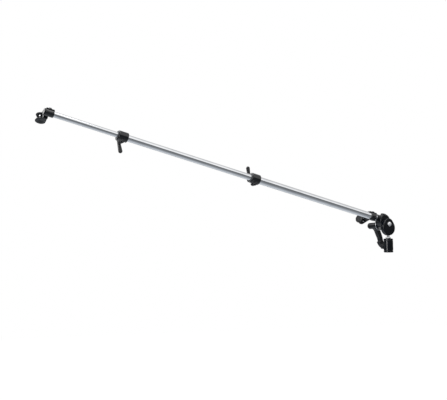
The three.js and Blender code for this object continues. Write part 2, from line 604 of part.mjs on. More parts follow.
function addLockCollar(suffix, tubeEnd, bigRadius, smallRadius, setting) {
  const frame = new THREE.Group();
  frame.position.set(collarCentre(tubeEnd), 0, 0);
  arm.add(frame);

  const bore = bigRadius + seatGap;
  const outside = bore + lockCollar.wall;
  const half = lockCollar.length / 2;
  const earCentre = -(bore + lockCollar.earDrop);
  const bossEnd = outside + lockCollar.bossReach;
  const screwHole = wing.screwRadius + seatGap;

  const sleeve = softRing('x', bore, outside, -half, half, lockCollar.chamfer, flats.large);
  const ears = slab('y', earOutline(-bore, earCentre), -lockCollar.earSpread / 2, lockCollar.earSpread / 2,
    lockCollar.earBevel, arcSteps.small);
  const boss = rod('y', lockCollar.bossRadius, -bossEnd, -bore, flats.medium);
  const tubeWay = rod('x', bore, -half - cutOverrun, half + cutOverrun, flats.large);
  const slot = slab('y', boxOutline(-half - cutOverrun, half + cutOverrun,
    earCentre - 2 * lockCollar.earRadius, 0),
    -lockCollar.slot / 2, lockCollar.slot / 2, 0, 1);
  const boltWay = rod('y', pinchBolt.radius + seatGap, -lockCollar.earSpread, lockCollar.earSpread,
    flats.small);
  boltWay.translate(0, 0, earCentre);
  const seats = [-1, 1].map((side) => {
    const near = (side * lockCollar.earSpread) / 2;
    const far = side * outside * 2;
    const seat = rod('y', pinchBolt.headRadius + seatGap, Math.min(near, far), Math.max(near, far),
      flats.small);
    return seat.translate(0, 0, earCentre);
  });
  const wingWay = screwWay(screwHole, bossEnd + cutOverrun);
  const body = cut(join(sleeve, ears, boss), tubeWay, slot, boltWay, wingWay, ...seats);
  addPiece(frame, `lock_collar_${suffix}`, body, finishes.blackPlastic);

  const bushBore = smallRadius + seatGap;
  const bushStart = tubeEnd + seatGap - collarCentre(tubeEnd);
  const flangeStart = half + seatGap;
  const flangeEnd = flangeStart + bush.flange;
  const flangeRadius = outside - bush.flangeInset;
  const bushShape = turned('x', [
    [bushBore, bushStart], [bigRadius, bushStart], [bigRadius, flangeStart], [flangeRadius, flangeStart],
    [flangeRadius, flangeEnd], [bushBore, flangeEnd], [bushBore, bushStart],
  ], flats.medium);
  addPiece(frame, `collar_bush_${suffix}`, bushShape, finishes.nylon);

  addPiece(frame, `pinch_bolt_${suffix}`, pinchBoltShape().translate(0, 0, earCentre), finishes.steel);

  const shoeStart = smallRadius + seatGap;
  const shoeEnd = shoeStart + shoe.thickness;
  addPiece(frame, `pressure_shoe_${suffix}`, rod('y', shoe.radius, -shoeEnd, -shoeStart, flats.small),
    finishes.brass);

  const hubStart = bossEnd + setting.standOff;
  const hubEnd = hubStart + wing.hubLength;
  const screwEnd = hubStart + wing.screwHold;
  const screw = rod('y', wing.screwRadius, -screwEnd, -shoeEnd - seatGap, flats.small);
  addPiece(frame, `wing_screw_${suffix}`, screw, finishes.steel);

  const hub = turned('y', [
    [0, -hubEnd], [wing.hubRadius - wing.hubCrown, -hubEnd], [wing.hubRadius, wing.hubCrown - hubEnd],
    [wing.hubRadius, -hubStart], [0, -hubStart],
  ], flats.medium);
  const bladeBack = hubEnd - wing.bladeInset;
  const blade = slab('y', bladeOutline(), -bladeBack, wing.bladeThickness - bladeBack, wing.bladeBevel,
    arcSteps.small);
  blade.rotateY(setting.turn);
  const screwSeat = rod('y', screwHole, -screwEnd - seatGap, -hubStart + cutOverrun, flats.small);
  addPiece(frame, `wing_${suffix}`, cut(join(hub, blade), screwSeat), finishes.blackPlastic);
}

// Bolt across the ears with its head on the camera side, and its nut at the back
function pinchBoltShape() {
  const headStart = lockCollar.earSpread / 2 + seatGap;
  const headEnd = headStart + pinchBolt.headHeight;
  const nutStart = -headStart - pinchBolt.nutHeight;
  const shank = rod('y', pinchBolt.radius, -headStart, headStart, flats.small);
  const head = rod('y', pinchBolt.headRadius, headStart, headEnd, pinchBolt.sides);
  const nut = rod('y', pinchBolt.headRadius, nutStart, -headStart, pinchBolt.sides);
  return join(shank, head, nut);
}

// Spring clips. In a clip's own frame Z runs out along its post, Y is up and X is along the arm.

function addClipCollar(side, centre, tubeRadius, lean) {
  const bore = tubeRadius + seatGap;
  const outside = bore + clipCollar.wall;
  const plateTop = outside + clipCollar.plateStandOff;
  const plateBottom = plateTop - clipCollar.plateThickness;
  const half = clipCollar.length / 2;
  const halfPlate = clipCollar.plateLength / 2;
  const bossEnd = clipBossEnd(tubeRadius);
  const clipFrame = clipFrameAt(centre, lean, 0);

  const sleeve = softRing('x', bore, outside, centre - half, centre + half, clipCollar.chamfer, flats.large);
  const plate = slab('x', boxOutline(-clipCollar.plateWidth / 2, clipCollar.plateWidth / 2, plateBottom,
    plateTop),
    centre - halfPlate, centre + halfPlate, clipCollar.plateBevel, 1);
  const boss = rod('z', clipCollar.bossRadius, bore, bossEnd, flats.medium).applyMatrix4(clipFrame);
  const tubeWay = rod('x', bore, centre - clipCollar.plateLength, centre + clipCollar.plateLength,
    flats.large);
  const postFloor = bore + clipCollar.postFloor;
  const postWay = rod('z', post.radius + seatGap, postFloor - seatGap, bossEnd + cutOverrun, flats.small)
    .applyMatrix4(clipFrame);
  const screwWayUp = rod('z', collarScrew.radius + seatGap, 0, plateTop + cutOverrun,
    flats.small).translate(centre, 0, 0);
  const body = cut(join(sleeve, plate, boss), tubeWay, postWay, screwWayUp);
  addPiece(arm, `${side}_clip_collar`, body, finishes.blackPlastic);

  const headStart = plateTop + seatGap;
  const headEnd = headStart + collarScrew.headHeight;
  const screw = join(
    rod('z', collarScrew.radius, bore, headStart, flats.small),
    rod('z', collarScrew.headRadius, headStart, headEnd, flats.small),
  );
  const key = rod('z', collarScrew.socketRadius, headEnd - collarScrew.socketDepth, headEnd + cutOverrun,
    collarScrew.sides);
  addPiece(arm, `${side}_clip_screw`, cut(screw, key).translate(centre, 0, 0), finishes.steel);
}

// Outer end of the boss that holds a clip's post, from the tube's axis
function clipBossEnd(tubeRadius) {
  return tubeRadius + seatGap + clipCollar.wall + clipCollar.bossHeight;
}

// Where a clip's own frame lies on the arm
function clipFrameAt(postAt, lean, turn) {
  const frame = new THREE.Matrix4().makeTranslation(postAt, 0, 0);
  frame.multiply(new THREE.Matrix4().makeRotationX(clipRoll));
  frame.multiply(new THREE.Matrix4().makeRotationZ(lean));
  frame.multiply(new THREE.Matrix4().makeRotationX(Math.PI / 2));
  frame.multiply(new THREE.Matrix4().makeRotationZ(turn));
  return frame;
}

function addClip(side, tubeRadius, postAt, pose) {
  const clip = new THREE.Group();
  clip.applyMatrix4(clipFrameAt(postAt, pose.lean, pose.turn));
  arm.add(clip);

  const postStart = tubeRadius + seatGap + clipCollar.postFloor;
  const flangeStart = clipBossEnd(tubeRadius) + seatGap;
  const flangeEnd = flangeStart + post.flangeThickness;
  const rootStart = flangeEnd + seatGap;
  const rootEnd = rootStart + jaw.rootLength;
  const nutStart = rootEnd + seatGap;
  const nutEnd = nutStart + postNut.height;
  const postEnd = nutEnd + post.tail;
  const postShape = turned('z', [
    [0, postStart], [post.radius, postStart], [post.radius, flangeStart], [post.flangeRadius, flangeStart],
    [post.flangeRadius, flangeEnd], [post.radius, flangeEnd], [post.radius, postEnd], [0, postEnd],
  ], flats.small);
  addPiece(clip, `${side}_clip_post`, postShape, finishes.steel);
  const postNutShape = ring('z', post.radius + seatGap, postNut.radius, nutStart, nutEnd, postNut.sides);
  addPiece(clip, `${side}_post_nut`, roundBored(postNutShape, 'z', post.radius + seatGap, nutStart,
    postNut.height),
    finishes.steel);

  const jawInner = jaw.mouth / 2 + rubberPad.thickness + seatGap;
  const jawOuter = jawInner + jaw.thickness;
  const hingeAt = rootEnd + jaw.hingeFromRoot;
  const padCentre = rootStart + jaw.reach;
  const eyeReach = jaw.spring / 2;
  const eyeEnd = eyeReach + jaw.eyeThickness;
  const earStart = eyeEnd + seatGap;
  const earEnd = earStart + jaw.earThickness;
  const pinHole = rod('y', hingePin.radius + seatGap, -earEnd - cutOverrun, earEnd + cutOverrun, flats.small);
  pinHole.translate(0, 0, hingeAt);

  const fixedPlate = slab('x', egg(jaw.padRadius, padCentre, jaw.rootOutlineRadius,
    rootStart + jaw.rootOutlineRadius),
    -jawOuter, -jawInner, jaw.bevel, arcSteps.small);
  const root = rod('z', jaw.rootRadius, rootStart, rootEnd, flats.medium);
  const rootWeb = slab('z', boxOutline(-jawInner - jaw.bevel, 0, -jaw.rootRadius, jaw.rootRadius),
    rootStart, rootEnd, 0, 1);
  const ears = [-1, 1].map((sideSign) => {
    const near = sideSign * earStart;
    const far = sideSign * earEnd;
    const outline = new THREE.Shape();
    outline.moveTo(-jawInner - jaw.bevel, hingeAt - jaw.eyeRadius);
    outline.lineTo(0, hingeAt - jaw.eyeRadius);
    outline.absarc(0, hingeAt, jaw.eyeRadius, -Math.PI / 2, Math.PI / 2, false);
    outline.lineTo(-jawInner - jaw.bevel, hingeAt + jaw.eyeRadius);
    outline.closePath();
    return slab('y', outline, Math.min(near, far), Math.max(near, far), 0, arcSteps.wire);
  });
  const postWay = rod('z', post.radius + seatGap, rootStart - cutOverrun, rootEnd + cutOverrun, flats.small);
  const fixedJaw = cut(join(fixedPlate, root, rootWeb, ...ears), postWay, pinHole);
  addPiece(clip, `${side}_fixed_jaw`, fixedJaw, finishes.blackPlastic);

  const movingPlate = slab('x', egg(jaw.padRadius, padCentre, jaw.hingeOutlineRadius, hingeAt),
    jawInner, jawOuter, jaw.bevel, arcSteps.small);
  const eyes = [-1, 1].map((sideSign) => {
    const near = sideSign * eyeReach;
    const far = sideSign * eyeEnd;
    const outline = new THREE.Shape();
    outline.moveTo(jawInner + jaw.bevel, hingeAt + jaw.eyeRadius);
    outline.lineTo(0, hingeAt + jaw.eyeRadius);
    outline.absarc(0, hingeAt, jaw.eyeRadius, Math.PI / 2, 3 * Math.PI / 2, false);
    outline.lineTo(jawInner + jaw.bevel, hingeAt - jaw.eyeRadius);
    outline.closePath();
    return slab('y', outline, Math.min(near, far), Math.max(near, far), 0, arcSteps.wire);
  });
  const tailRoot = (jawInner + jawOuter) / 2;
  const tailEnd = tailRoot + jaw.tailSpread;
  const tailLow = hingeAt - jaw.tailReach;
  const tailOutline = new THREE.Shape();
  const halfTail = jaw.tailThickness / 2;
  tailOutline.moveTo(tailRoot - halfTail, hingeAt + halfTail);
  tailOutline.lineTo(tailRoot - halfTail, hingeAt);
  tailOutline.lineTo(tailEnd - halfTail, tailLow);
  tailOutline.lineTo(tailEnd + halfTail, tailLow);
  tailOutline.lineTo(tailRoot + halfTail, hingeAt + halfTail);
  tailOutline.closePath();
  const tail = slab('y', tailOutline, -jaw.tailWidth / 2, jaw.tailWidth / 2, 0, 1);
  const tailKnob = rod('y', jaw.tailKnobRadius, -jaw.tailWidth / 2, jaw.tailWidth / 2, flats.small);
  tailKnob.translate(tailEnd, 0, tailLow);
  const movingJaw = cut(join(movingPlate, ...eyes, tail, tailKnob), pinHole);
  addPiece(clip, `${side}_moving_jaw`, movingJaw, finishes.blackPlastic);

  const padOutline = rubberPadOutline(padCentre);
  const padStart = jaw.mouth / 2;
  const padEnd = padStart + rubberPad.thickness;
  addPiece(clip, `${side}_fixed_pad`, slab('x', padOutline, -padEnd, -padStart, 0, arcSteps.large),
    finishes.rubber);
  addPiece(clip, `${side}_moving_pad`, slab('x', padOutline, padStart, padEnd, 0, arcSteps.large),
    finishes.rubber);

  const pinHead = earEnd + seatGap;
  const pinShape = join(
    rod('y', hingePin.radius, -pinHead, pinHead, flats.small),
    rod('y', hingePin.headRadius, pinHead, pinHead + hingePin.headThickness, flats.small),
    rod('y', hingePin.headRadius, -pinHead - hingePin.headThickness, -pinHead, flats.small),
  );
  addPiece(clip, `${side}_hinge_pin`, pinShape.translate(0, 0, hingeAt), finishes.steel);

  addPiece(clip, `${side}_spring`, springShape().translate(0, 0, hingeAt), finishes.steel);
}

// Round pad, cut straight across short of the hinge
function rubberPadOutline(padCentre) {
  const radius = jaw.padRadius - rubberPad.inset;
  const cutAngle = Math.asin(rubberPad.rootCut / radius);
  const outline = new THREE.Shape();
  outline.absarc(0, padCentre, radius, -cutAngle, Math.PI + cutAngle, false);
  outline.closePath();
  return outline;
}

// Torsion spring round the hinge pin, with a leg at each side of the hinge that points at the root
class SpringLine extends THREE.Curve {
  getPoint(share) {
    const coilLength = 2 * Math.PI * torsionSpring.coilRadius * torsionSpring.turns;
    const whole = coilLength + 2 * torsionSpring.legLength;
    const along = share * whole - torsionSpring.legLength;
    const coilPart = Math.min(Math.max(along, 0), coilLength);
    const angle = coilPart / torsionSpring.coilRadius;
    const beyond = along - coilPart;
    const width = torsionSpring.pitch * torsionSpring.turns;
    return new THREE.Vector3(
      torsionSpring.coilRadius * Math.cos(angle) - beyond * Math.sin(angle),
      (width * coilPart) / coilLength - width / 2,
      torsionSpring.coilRadius * Math.sin(angle) + beyond * Math.cos(angle),
    );
  }
}

function springShape() {
  const section = circleOutline(torsionSpring.wireRadius);
  const legSteps = 1;
  return new THREE.ExtrudeGeometry(section, {
    extrudePath: new SpringLine(),
    steps: torsionSpring.turns * torsionSpring.stepsPerTurn + 2 * legSteps,
    curveSegments: arcSteps.wire,
    bevelEnabled: false,
  });
}

// Least gap from one turn of the spring to another, measured between points along the wire
function leastSpringGap() {
  const points = new SpringLine().getSpacedPoints(torsionSpring.gapPoints);
  const pointSpacing = points[0].distanceTo(points[1]);
  const halfTurn = Math.PI * torsionSpring.coilRadius;
  let least = Infinity;
  points.forEach((point, index) => {
    points.slice(index).forEach((other, further) => {
      if (further * pointSpacing > halfTurn) least = Math.min(least, point.distanceTo(other));
    });
  });
  return least - 2 * torsionSpring.wireRadius;
}

addSocket();
addTiltJoint();
addLever();
addRollJoint();
addTubes();
addLockCollar('2', outerEnd, outerTube.radius, middleRadius, rearWing);
addLockCollar('1', middleEnd, middleRadius, innerRadius, frontWing);

const rightPostAt = outerStart + clipCollar.fromHead + clipCollar.length / 2;
addClipCollar('right', rightPostAt, outerTube.radius, rightClip.lean);
addClip('right', outerTube.radius, rightPostAt, rightClip);

const leftPostAt = innerEnd - clipCollar.plateLength / 2;
addClipCollar('left', leftPostAt, innerRadius, leftClip.lean);
addClip('left', innerRadius, leftPostAt, leftClip);

console.log(`least gap between the spring's turns: ${leastSpringGap().toFixed(2)} mm`);

export default assembly;
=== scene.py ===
import json
import math
import bmesh
import bpy
from types import SimpleNamespace as Named
from mathutils import Matrix, Vector


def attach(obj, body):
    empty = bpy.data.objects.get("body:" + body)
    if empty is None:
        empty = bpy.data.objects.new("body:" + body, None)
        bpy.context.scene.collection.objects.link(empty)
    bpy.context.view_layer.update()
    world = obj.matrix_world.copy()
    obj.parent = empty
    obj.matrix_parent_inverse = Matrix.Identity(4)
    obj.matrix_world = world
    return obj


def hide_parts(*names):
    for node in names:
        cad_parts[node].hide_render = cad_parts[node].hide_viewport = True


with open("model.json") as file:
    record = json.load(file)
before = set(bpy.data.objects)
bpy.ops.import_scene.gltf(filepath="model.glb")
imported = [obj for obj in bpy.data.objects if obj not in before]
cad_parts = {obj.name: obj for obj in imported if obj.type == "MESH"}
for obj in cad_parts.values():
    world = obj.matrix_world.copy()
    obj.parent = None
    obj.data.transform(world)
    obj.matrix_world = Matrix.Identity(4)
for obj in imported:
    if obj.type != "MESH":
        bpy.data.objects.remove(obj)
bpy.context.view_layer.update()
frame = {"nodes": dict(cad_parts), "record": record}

# Lengths below are millimetres in the part's own frame, and mm turns them into Blender's metres.
# A function reads its piece's settings dictionary under a short name, as in s.radius.
mm = 0.001
armTilt = 11.5  # degrees up from level
record = frame["record"]
slotOfNode = {entry["node"]: entry["material_slot"] for entry in record["subparts"]}
bodyOfNode = {node: body for body, members in record["behaviour"]["bodies"].items() for node in members}


def shift(x=0, y=0, z=0):
    return Matrix.Translation((x, y, z))


def rotation(degrees, axis):
    return Matrix.Rotation(math.radians(degrees), 4, axis)


def addObject(name, data):
    item = bpy.data.objects.new(name, data)
    bpy.context.scene.collection.objects.link(item)
    return item


# Camera: solved from the photograph's perspective
cameraSettings = dict(
    place=(-1.4745, -1.6024, -0.085), right=(0.864, -0.503, 0.0), up=(-0.055, -0.0948, 0.994), lens=60.3,
    sensor=36.0, nearest=0.02, farthest=60,
)


def addCamera():
    s = Named(**cameraSettings)
    data = bpy.data.cameras.new("photoCamera")
    data.lens = s.lens
    data.sensor_width = s.sensor
    data.clip_start = s.nearest
    data.clip_end = s.farthest
    camera = addObject("photoCamera", data)
    right = Vector(s.right).normalized()
    up = Vector(s.up)
    up = (up - right * up.dot(right)).normalized()
    turn = Matrix((right, up, right.cross(up))).transposed().to_4x4()
    turn.translation = s.place
    camera.matrix_world = turn
    bpy.context.scene.camera = camera


# Sets a node's inputs, each to a constant, to an output, or to a node, which gives its first output
def feed(tree, node, inputs):
    for name, value in inputs.items():
        if isinstance(value, bpy.types.Node):
            value = value.outputs[0]
        if isinstance(value, bpy.types.NodeSocket):
            tree.links.new(value, node.inputs[name])
        else:
            node.inputs[name].default_value = value
    return node


def addNode(tree, kind, inputs=None, **settings):
    node = tree.nodes.new(kind)
    for name, value in settings.items():
        setattr(node, name, value)
    return feed(tree, node, inputs or {})


def calculate(tree, operation, first, second):
    return addNode(tree, "ShaderNodeMath", {0: first, 1: second}, operation=operation)


# Noise on Object coordinates, stretched by scale along each axis and turned with the arm
def grainNoise(tree, scale, detail, stretch=(1, 1, 1), turn=(0, 0, 0)):
    place = addNode(tree, "ShaderNodeTexCoord").outputs["Object"]
    mapping = addNode(tree, "ShaderNodeMapping", {"Vector": place, "Scale": stretch, "Rotation": turn})
    return addNode(tree, "ShaderNodeTexNoise", {"Vector": mapping, "Scale": scale, "Detail": detail})


def spread(tree, source, low, high, fromLow, fromHigh):
    return addNode(tree, "ShaderNodeMapRange", {
        "Value": source, "From Min": fromLow, "From Max": fromHigh, "To Min": low, "To Max": high,
    })


# Finishes. Patches of a coarse noise lead from one tint and roughness to the other, and the grain
# makes the bump. A noise is (scale, detail, stretch, turn), and a bump is (strength, height).
usualFade = (0.3, 0.7)
mouldedNylon = dict(
    tints=((0.0019, 0.0028, 0.0046), (0.0036, 0.005, 0.0072)), rough=(0.2, 0.32),
    patches=(45, 5, (1, 1, 2.5)), grain=(2600, 2), bump=(0.12, 0.05),
    extra={"Specular IOR Level": 0.3, "IOR": 1.5},
)
finishSettings = {
    # Powder coat on the castings: an orange-peel grain and slightly rubbed high spots
    "castBlack": dict(
        tints=((0.0019, 0.003, 0.005), (0.0036, 0.0052, 0.0078)), rough=(0.09, 0.17), patches=(70, 4),
        grain=(1100, 3), bump=(0.12, 0.1), extra={"Specular IOR Level": 0.34},
    ),
    # Glass-filled nylon out of a spark-eroded mould: plain on small parts, polished on the collars
    "mouldedBlack": mouldedNylon,
    "polishedBlack": dict(mouldedNylon, rough=(0.1, 0.19), extra={"Specular IOR Level": 0.5, "IOR": 1.6}),
    # Bright chrome over a drawn tube: faint lines along the arm, and a few handling marks
    "chromedTube": dict(
        tints=((0.87, 0.88, 0.9), (0.76, 0.775, 0.795)), rough=(0.06, 0.17), patches=(38, 6),
        tintFade=(0.35, 0.75), roughFade=(0.42, 0.8),
        grain=(1800, 3, (0.012, 1, 1), (0, math.radians(-armTilt), 0)), bump=(0.08, 0.02), metallic=1,
    ),
    # Zinc-plated turned steel
    "brightSteel": dict(
        tints=((0.8, 0.81, 0.82), (0.66, 0.67, 0.68)), rough=(0.28, 0.42), patches=(160, 4),
        grain=(2400, 2, (1, 1, 3)), bump=(0.15, 0.03), metallic=1,
    ),
    # Satin nickel on the cap nut, blasted before plating
    "satinNickel": dict(
        tints=((0.84, 0.85, 0.86), (0.72, 0.73, 0.74)), rough=(0.5, 0.62), patches=(240, 4),
        grain=(1900, 3), bump=(0.25, 0.04), metallic=1,
    ),
    # Oiled black oxide on the clamping bolts and the clips' posts
    "blackedSteel": dict(
        tints=((0.05, 0.052, 0.058), (0.1, 0.1, 0.106)), rough=(0.26, 0.44), patches=(300, 4),
        grain=(300, 4), bump=(0.1, 0.02), metallic=1,
    ),
    "turnedBrass": dict(
        tints=((0.6, 0.45, 0.2), (0.42, 0.3, 0.13)), rough=(0.24, 0.4), patches=(220, 4), grain=(220, 4),
        bump=(0.1, 0.02), metallic=1,
    ),
    "padRubber": dict(
        tints=((0.011, 0.0115, 0.013), (0.022, 0.023, 0.025)), rough=(0.72, 0.9), patches=(500, 5),
        grain=(3200, 2), bump=(0.4, 0.08), extra={"Specular IOR Level": 0.3},
    ),
    "greyNylon": dict(
        tints=((0.03, 0.032, 0.036), (0.048, 0.05, 0.055)), rough=(0.42, 0.58), patches=(90, 3),
        grain=(1500, 3), bump=(0.2, 0.04),
    ),
}


def makeFinish(name, s):
    finish = bpy.data.materials.new(name)
    finish.use_nodes = True
    finish.diffuse_color = (*s["tints"][0], 1)
    tree = finish.node_tree
    shader = tree.nodes["Principled BSDF"]
    feed(tree, shader, {"Metallic": s.get("metallic", 0), **s.get("extra", {})})
    patches = grainNoise(tree, *s["patches"])
    tint = addNode(tree, "ShaderNodeMix", {
        "Factor": spread(tree, patches, 0, 1, *s.get("tintFade", usualFade)),
        "A": (*s["tints"][0], 1), "B": (*s["tints"][1], 1),
    }, data_type="RGBA")
    strength, height = s["bump"]
    bump = addNode(tree, "ShaderNodeBump", {
        "Height": grainNoise(tree, *s["grain"]), "Strength": strength, "Distance": height * mm,
    })
    feed(tree, shader, {
        "Base Color": tint.outputs["Result"], "Normal": bump,
        "Roughness": spread(tree, patches, *s["rough"], *s.get("roughFade", usualFade)),
    })
    return finish


finishes = {name: makeFinish(name, settings) for name, settings in finishSettings.items()}
finishOfSlot = {
    "cast_black": "castBlack", "moulded_black": "mouldedBlack", "chromed_tube": "chromedTube",
    "bright_steel": "brightSteel", "brass": "turnedBrass", "rubber": "padRubber", "nylon": "greyNylon",
}
print("finishes made")

# Light: a large softbox overhead, a fill from the left and a rim lamp behind
lampSettings = {
    "overhead": Named(place=(-0.9, -0.6, 2.2), aim=(-0.45, 0, 0.1), size=(2.4, 1), power=24),
    "fill": Named(place=(-2.7, -0.6, 0.4), aim=(-0.1, 0, 0.1), size=(0.8, 1.5), power=34),
    "rim": Named(place=(-1.9, 1.7, 1.4), aim=(-0.4, 0, 0.15), size=(1.6, 1), power=14),
}


def addLamps():
    for name, lamp in lampSettings.items():
        data = bpy.data.lights.new(name, "AREA")
        data.shape = "RECTANGLE"
        data.size, data.size_y = lamp.size
        data.energy = lamp.power
        item = addObject(name, data)
        item.location = lamp.place
        aim = Vector(lamp.aim) - Vector(lamp.place)
        item.rotation_euler = aim.to_track_quat("-Z", "Y").to_euler()


# The world is white to the camera and gives even ambient light. Shiny surfaces see a painted reflection
# instead: a pale backdrop behind and above the arm, and on the near side a dark band from the horizon down.
worldSettings = dict(
    ambient=0.5, nearSide=(-0.503, -0.864, 0), sideFade=(-0.25, 0.25), darkRoom=0.15, paleRoom=0.64,
    paleFade=(0.04, 0.16), whiteRoom=1.05, whiteFade=(0.08, 0.2),
)


def addWorld():
    s = Named(**worldSettings)
    world = bpy.data.worlds.new("studio")
    bpy.context.scene.world = world
    world.use_nodes = True
    tree = world.node_tree
    tree.nodes.clear()
    path = addNode(tree, "ShaderNodeLightPath").outputs
    place = addNode(tree, "ShaderNodeTexCoord").outputs["Generated"]
    height = addNode(tree, "ShaderNodeSeparateXYZ", {"Vector": place}).outputs["Z"]
    ahead = addNode(tree, "ShaderNodeVectorMath", {0: place, 1: s.nearSide}, operation="DOT_PRODUCT")
    # Painted reflection: only shiny surfaces see this room, dark from the horizon down, pale behind the arm
    # and white above it on the near side
    paintedRoom = addNode(tree, "ShaderNodeMix", {
        "Factor": spread(tree, ahead.outputs["Value"], 0, 1, *s.sideFade),
        "A": spread(tree, height, s.darkRoom, s.paleRoom, *s.paleFade),
        "B": spread(tree, height, s.darkRoom, s.whiteRoom, *s.whiteFade),
    })
    shiny = addNode(tree, "ShaderNodeMix", {"Factor": path["Is Glossy Ray"], "A": s.ambient, "B": paintedRoom})
    seen = calculate(tree, "MAXIMUM", path["Is Camera Ray"], path["Is Transmission Ray"])
    white = addNode(tree, "ShaderNodeMix", {"Factor": seen, "A": shiny, "B": 1.0})
    glow = addNode(tree, "ShaderNodeBackground", {"Color": (1, 1, 1, 1), "Strength": white})
    addNode(tree, "ShaderNodeOutputWorld", {"Surface": glow})


# Floor: white to the camera, grey to bounced light, and a painted reflection: to shiny surfaces it glows
# with a set brightness that changes along Y. Each entry of shine is (place along Y, strength).
floorSettings = dict(
    height=-1.25, reach=14.0, color=(0.86, 0.86, 0.87), glow=0.6, bounceColor=(0.6, 0.6, 0.61),
    shine=((-2.7, 0.19), (-1.35, 0.25), (-0.4, 0.43), (0.8, 0.7), (1.9, 0.7), (3.8, 0.2)),
    shineColor=(0.93, 0.985, 1.05),
)


def addFloor():
    s = Named(**floorSettings)
    corners = [(x * s.reach, y * s.reach, s.height) for x, y in ((-1, -1), (1, -1), (1, 1), (-1, 1))]
    mesh = bpy.data.meshes.new("floor")
    mesh.from_pydata(corners, [], [(0, 1, 2, 3)])
    floor = addObject("floor", mesh)
    surface = bpy.data.materials.new("floorPaint")
    surface.use_nodes = True
    tree = surface.node_tree
    tree.nodes.clear()
    path = addNode(tree, "ShaderNodeLightPath").outputs
    matte = addNode(tree, "ShaderNodeBsdfDiffuse", {"Color": (*s.color, 1)})
    glow = addNode(tree, "ShaderNodeEmission", {"Color": (1, 1, 1, 1), "Strength": s.glow})
    both = addNode(tree, "ShaderNodeAddShader", {0: matte, 1: glow})
    plain = addNode(tree, "ShaderNodeBsdfDiffuse", {"Color": (*s.bounceColor, 1)})
    matteOrPlain = addNode(tree, "ShaderNodeMixShader", {0: path["Is Camera Ray"], 1: plain, 2: both})
    place = addNode(tree, "ShaderNodeTexCoord").outputs["Object"]
    along = addNode(tree, "ShaderNodeSeparateXYZ", {"Vector": place}).outputs["Y"]
    nearest, farthest = s.shine[0][0], s.shine[-1][0]
    # Painted reflection: a glow seen only by shiny surfaces, its strength set at each stop along Y
    ramp = addNode(tree, "ShaderNodeValToRGB", {"Fac": spread(tree, along, 0, 1, nearest, farthest)})
    stops = ramp.color_ramp.elements
    for index, (at, strength) in enumerate(s.shine):
        stop = stops[index] if index < 2 else stops.new(1)
        stop.position = (at - nearest) / (farthest - nearest)
        stop.color = (*(strength * part for part in s.shineColor), 1)
    shine = addNode(tree, "ShaderNodeEmission", {"Color": ramp})
    pick = addNode(tree, "ShaderNodeMixShader", {0: path["Is Glossy Ray"], 1: matteOrPlain, 2: shine})
    addNode(tree, "ShaderNodeOutputMaterial", {"Surface": pick})
    mesh.materials.append(surface)


addCamera()
print("camera set")
addWorld()
addLamps()
addFloor()
bpy.context.scene.view_settings.view_transform = "Standard"
print("studio lit")


# Shape helpers. A shape is a bmesh in millimetres, and it becomes a Blender mesh at the end.
tiny = 1e-6
weld = 0.001  # points nearer than this are one
past = 2  # how far a cutting shape runs past the face it enters
flattest = math.radians(155)  # a corner with a wider angle isn't rounded
longest = 0.45  # share of a side that a rounded corner may take
softAngle = math.radians(34)  # an edge that turns more is softened with a bevel

# Turns a shape made along Z so that it lies along another axis
turnOfAxis = {"x": rotation(90, "Y"), "y": rotation(-90, "X"), "z": Matrix.Identity(4)}
# Along x an outline's own axes become Y and Z, along y they become X and Z
outlineOfAxis = {
    "x": Matrix(((0, 0, 1, 0), (1, 0, 0, 0), (0, 1, 0, 0), (0, 0, 0, 1))),
    "y": Matrix(((1, 0, 0, 0), (0, 0, 1, 0), (0, 1, 0, 0), (0, 0, 0, 1))),
    "z": Matrix.Identity(4),
}


# Rounds the corners of a run of points; a corner that turns little is left alone
def roundedRun(points, radius, steps=3, closed=False):
    points = [Vector((*point, 0)) for point in points]
    rounded = []
    count = len(points)
    for index, corner in enumerate(points):
        before = points[index - 1] - corner
        after = points[(index + 1) % count] - corner
        atEnd = not closed and index in (0, count - 1)
        if atEnd or min(before.length, after.length) < tiny or before.angle(after) > flattest:
            rounded.append(corner)
            continue
        reach = min(radius, before.length * longest, after.length * longest)
        start = corner + before.normalized() * reach
        end = corner + after.normalized() * reach
        for step in range(steps + 1):
            share = step / steps
            rounded.append(start * (1 - share) ** 2 + corner * 2 * share * (1 - share) + end * share ** 2)
    return [(point.x, point.y) for point in rounded]


def ringPoint(shape, radius, turn, along):
    return shape.verts.new((radius * math.cos(turn), radius * math.sin(turn), along))


# Faces between rings of equal steps; a ring of one point is a tip
def joinRings(shape, rings, steps):
    for lower, upper in zip(rings, rings[1:]):
        for k in range(steps):
            after = (k + 1) % steps
            around = [lower[k % len(lower)], lower[after % len(lower)],
                      upper[after % len(upper)], upper[k % len(upper)]]
            corners = [corner for at, corner in enumerate(around) if corner not in around[:at]]
            if len(corners) > 2:
                shape.faces.new(corners)


# Turned shape from (radius, place along the axis) points
def turnedShape(profile, steps, axis="z"):
    shape = bmesh.new()
    closed = (Vector(profile[0]) - Vector(profile[-1])).length < tiny
    rings = []
    for radius, along in (profile[:-1] if closed else profile):
        count = steps if radius > tiny else 1
        rings.append([ringPoint(shape, radius, 2 * math.pi * k / steps, along) for k in range(count)])
    joinRings(shape, rings + rings[:1] if closed else rings, steps)
    bmesh.ops.recalc_face_normals(shape, faces=shape.faces)
    return placed(shape, turnOfAxis[axis])


def roundedTurn(profile, edge, steps, axis="z"):
    return turnedShape(roundedRun(profile, edge), steps, axis)


def barShape(radius, start, end, steps, axis="z", bevel=0.0, bevelSteps=3):
    profile = [(0, start), (radius, start), (radius, end), (0, end)]
    if bevel:
        profile = roundedRun(profile, bevel, bevelSteps)
    return turnedShape(profile, steps, axis)


# Bar that cuts a hole from face to face
def wayShape(radius, start, end, steps, axis="z"):
    return barShape(radius, start - past, end + past, steps, axis)


def tubeShape(inner, outer, start, end, steps, axis, bevel, bevelSteps=3):
    corners = [(inner, start), (outer, start), (outer, end), (inner, end)]
    profile = roundedRun(corners, bevel, bevelSteps, True)
    return turnedShape(profile + profile[:1], steps, axis)


